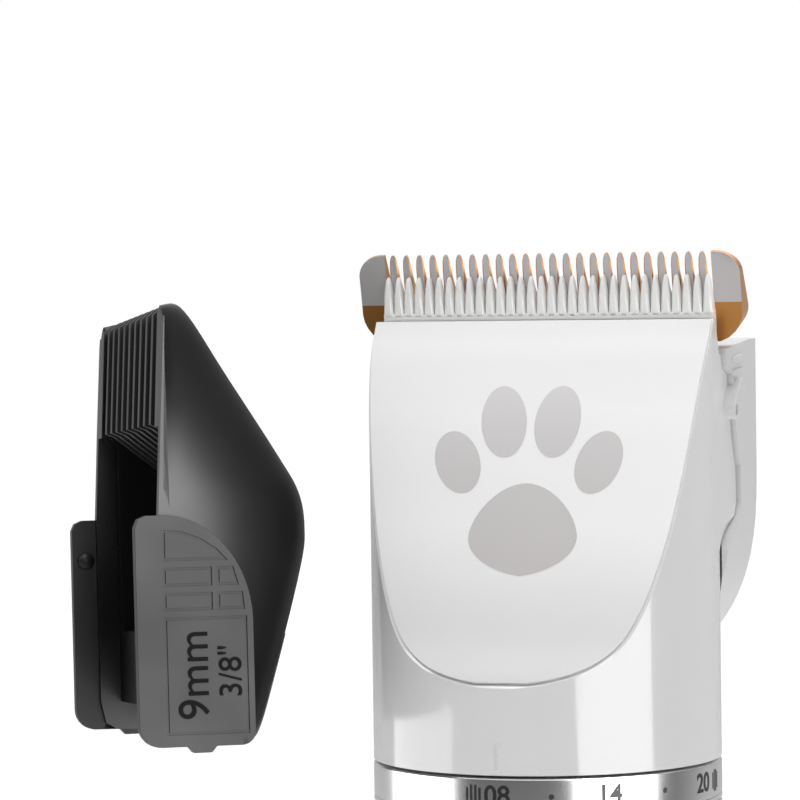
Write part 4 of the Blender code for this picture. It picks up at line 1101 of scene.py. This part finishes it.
def buildStage():
    floor = meshObject("floor", [(-3, -3, 0), (3, -3, 0), (3, 3, 0), (-3, 3, 0)], [(0, 1, 2, 3)])
    material = bpy.data.materials.new("paleFloor")
    material.use_nodes = True
    shader = material.node_tree.nodes["Principled BSDF"]
    shader.inputs["Base Color"].default_value = srgb("#FBFBFB")
    shader.inputs["Roughness"].default_value = 0.9
    floor.data.materials.append(material)
    floor.visible_glossy = False

    world = bpy.data.worlds.new("studio")
    bpy.context.scene.world = world
    world.use_nodes = True
    tree = world.node_tree
    tree.nodes.clear()
    ray = addNode(tree, "ShaderNodeLightPath")
    seen = addNode(tree, "ShaderNodeBackground", {"Color": (1, 1, 1, 1), "Strength": 1.0})
    diffuse = addNode(tree, "ShaderNodeBackground", {"Color": (1, 1, 1, 1), "Strength": 0.45})
    # what gloss shows: dim at the horizon, brighter below and a little brighter above
    place = addNode(tree, "ShaderNodeTexCoord").outputs["Generated"]
    height = addNode(tree, "ShaderNodeSeparateXYZ", {0: place})
    below = addNode(tree, "ShaderNodeMapRange", {"Value": height.outputs["Z"], "From Min": -0.1,
                                                 "From Max": -0.5, "To Min": 0.14, "To Max": 0.85})
    above = addNode(tree, "ShaderNodeMapRange", {"Value": height.outputs["Z"], "From Min": 0.3,
                                                 "From Max": 0.7, "To Min": 0.0, "To Max": 1.8})
    behind = addNode(tree, "ShaderNodeVectorMath", {0: place, 1: (-0.29, 0.96, 0)},
                     operation="DOT_PRODUCT")
    rear = addNode(tree, "ShaderNodeMapRange", {"Value": behind.outputs["Value"], "From Min": 0.0,
                                                "From Max": 0.6, "To Min": 0.0, "To Max": 0.4})
    level = addNode(tree, "ShaderNodeMath", {0: below.outputs[0], 1: above.outputs[0]},
                    operation="ADD")
    level = addNode(tree, "ShaderNodeMath", {0: level.outputs[0], 1: rear.outputs[0]},
                    operation="ADD")
    mirrored = addNode(tree, "ShaderNodeBackground", {"Color": (1, 1, 1, 1),
                                                      "Strength": level.outputs[0]})
    first = addNode(tree, "ShaderNodeMixShader", {0: ray.outputs["Is Glossy Ray"],
                                                  1: diffuse.outputs[0], 2: mirrored.outputs[0]})
    second = addNode(tree, "ShaderNodeMixShader", {0: ray.outputs["Is Camera Ray"],
                                                   1: first.outputs[0], 2: seen.outputs[0]})
    addNode(tree, "ShaderNodeOutputWorld", {"Surface": second.outputs[0]})

    sun = bpy.data.lights.new("overhead", "SUN")
    sun.energy = 1.95
    sun.angle = math.radians(50)
    lamp = bpy.data.objects.new("overhead", sun)
    bpy.context.scene.collection.objects.link(lamp)

    lit = {True: bpy.data.collections.new("combPieces"),
           False: bpy.data.collections.new("clipperPieces")}
    for piece in bpy.context.scene.objects:
        if piece.type == "MESH":
            lit[piece.name in combPieces].objects.link(piece)
    for name, (azimuth, width, height, strength, onComb, aim) in softboxes.items():
        box = bpy.data.lights.new(name, "AREA")
        box.shape = "RECTANGLE"
        box.size = width
        box.size_y = height
        box.energy = strength * width * height * math.pi
        holder = bpy.data.objects.new(name, box)
        turn = math.radians(azimuth)
        way = Vector((math.sin(turn), -math.cos(turn), 0.12)) * 0.65
        facing = (-way).to_track_quat("-Z", "Y").to_matrix().to_4x4()
        holder.matrix_world = Matrix.Translation(Vector(aim) + way) @ facing
        holder.visible_diffuse = False
        holder.visible_camera = False
        holder.light_linking.receiver_collection = lit[onComb]
        bpy.context.scene.collection.objects.link(holder)


# long lens, round to the right and just under the blade tips; angles in degrees
cameraPlace = dict(azimuth=17, distance=0.475, below=0.85 * mm, left=16.75 * mm, tilt=-1.95, roll=0.8,
                   field=11.25)


def buildCamera():
    place = cameraPlace
    azimuth = math.radians(place["azimuth"])
    across = Vector((math.cos(azimuth), math.sin(azimuth), 0))
    back = Vector((math.sin(azimuth), -math.cos(azimuth), 0))
    spot = Vector((0, 0, tipZ - place["below"])) - across * place["left"] + back * place["distance"]
    tilt = math.radians(place["tilt"])
    ahead = (-back) * math.cos(tilt) + Vector((0, 0, 1)) * math.sin(tilt)
    up = across.cross(ahead)
    roll = Matrix.Rotation(math.radians(place["roll"]), 3, ahead)
    across, up = roll @ across, roll @ up
    turned = Matrix((across, up, -ahead)).transposed().to_4x4()
    data = bpy.data.cameras.new("camera")
    data.sensor_width = 36
    data.lens = data.sensor_width / 2 / math.tan(math.radians(place["field"] / 2))
    data.clip_start = 0.01
    data.clip_end = 20
    camera = bpy.data.objects.new("camera", data)
    camera.matrix_world = Matrix.Translation(spot) @ turned
    bpy.context.scene.collection.objects.link(camera)
    bpy.context.scene.camera = camera


buildStage()
buildCamera()
bpy.context.scene.view_settings.view_transform = "Standard"
print("stage made")
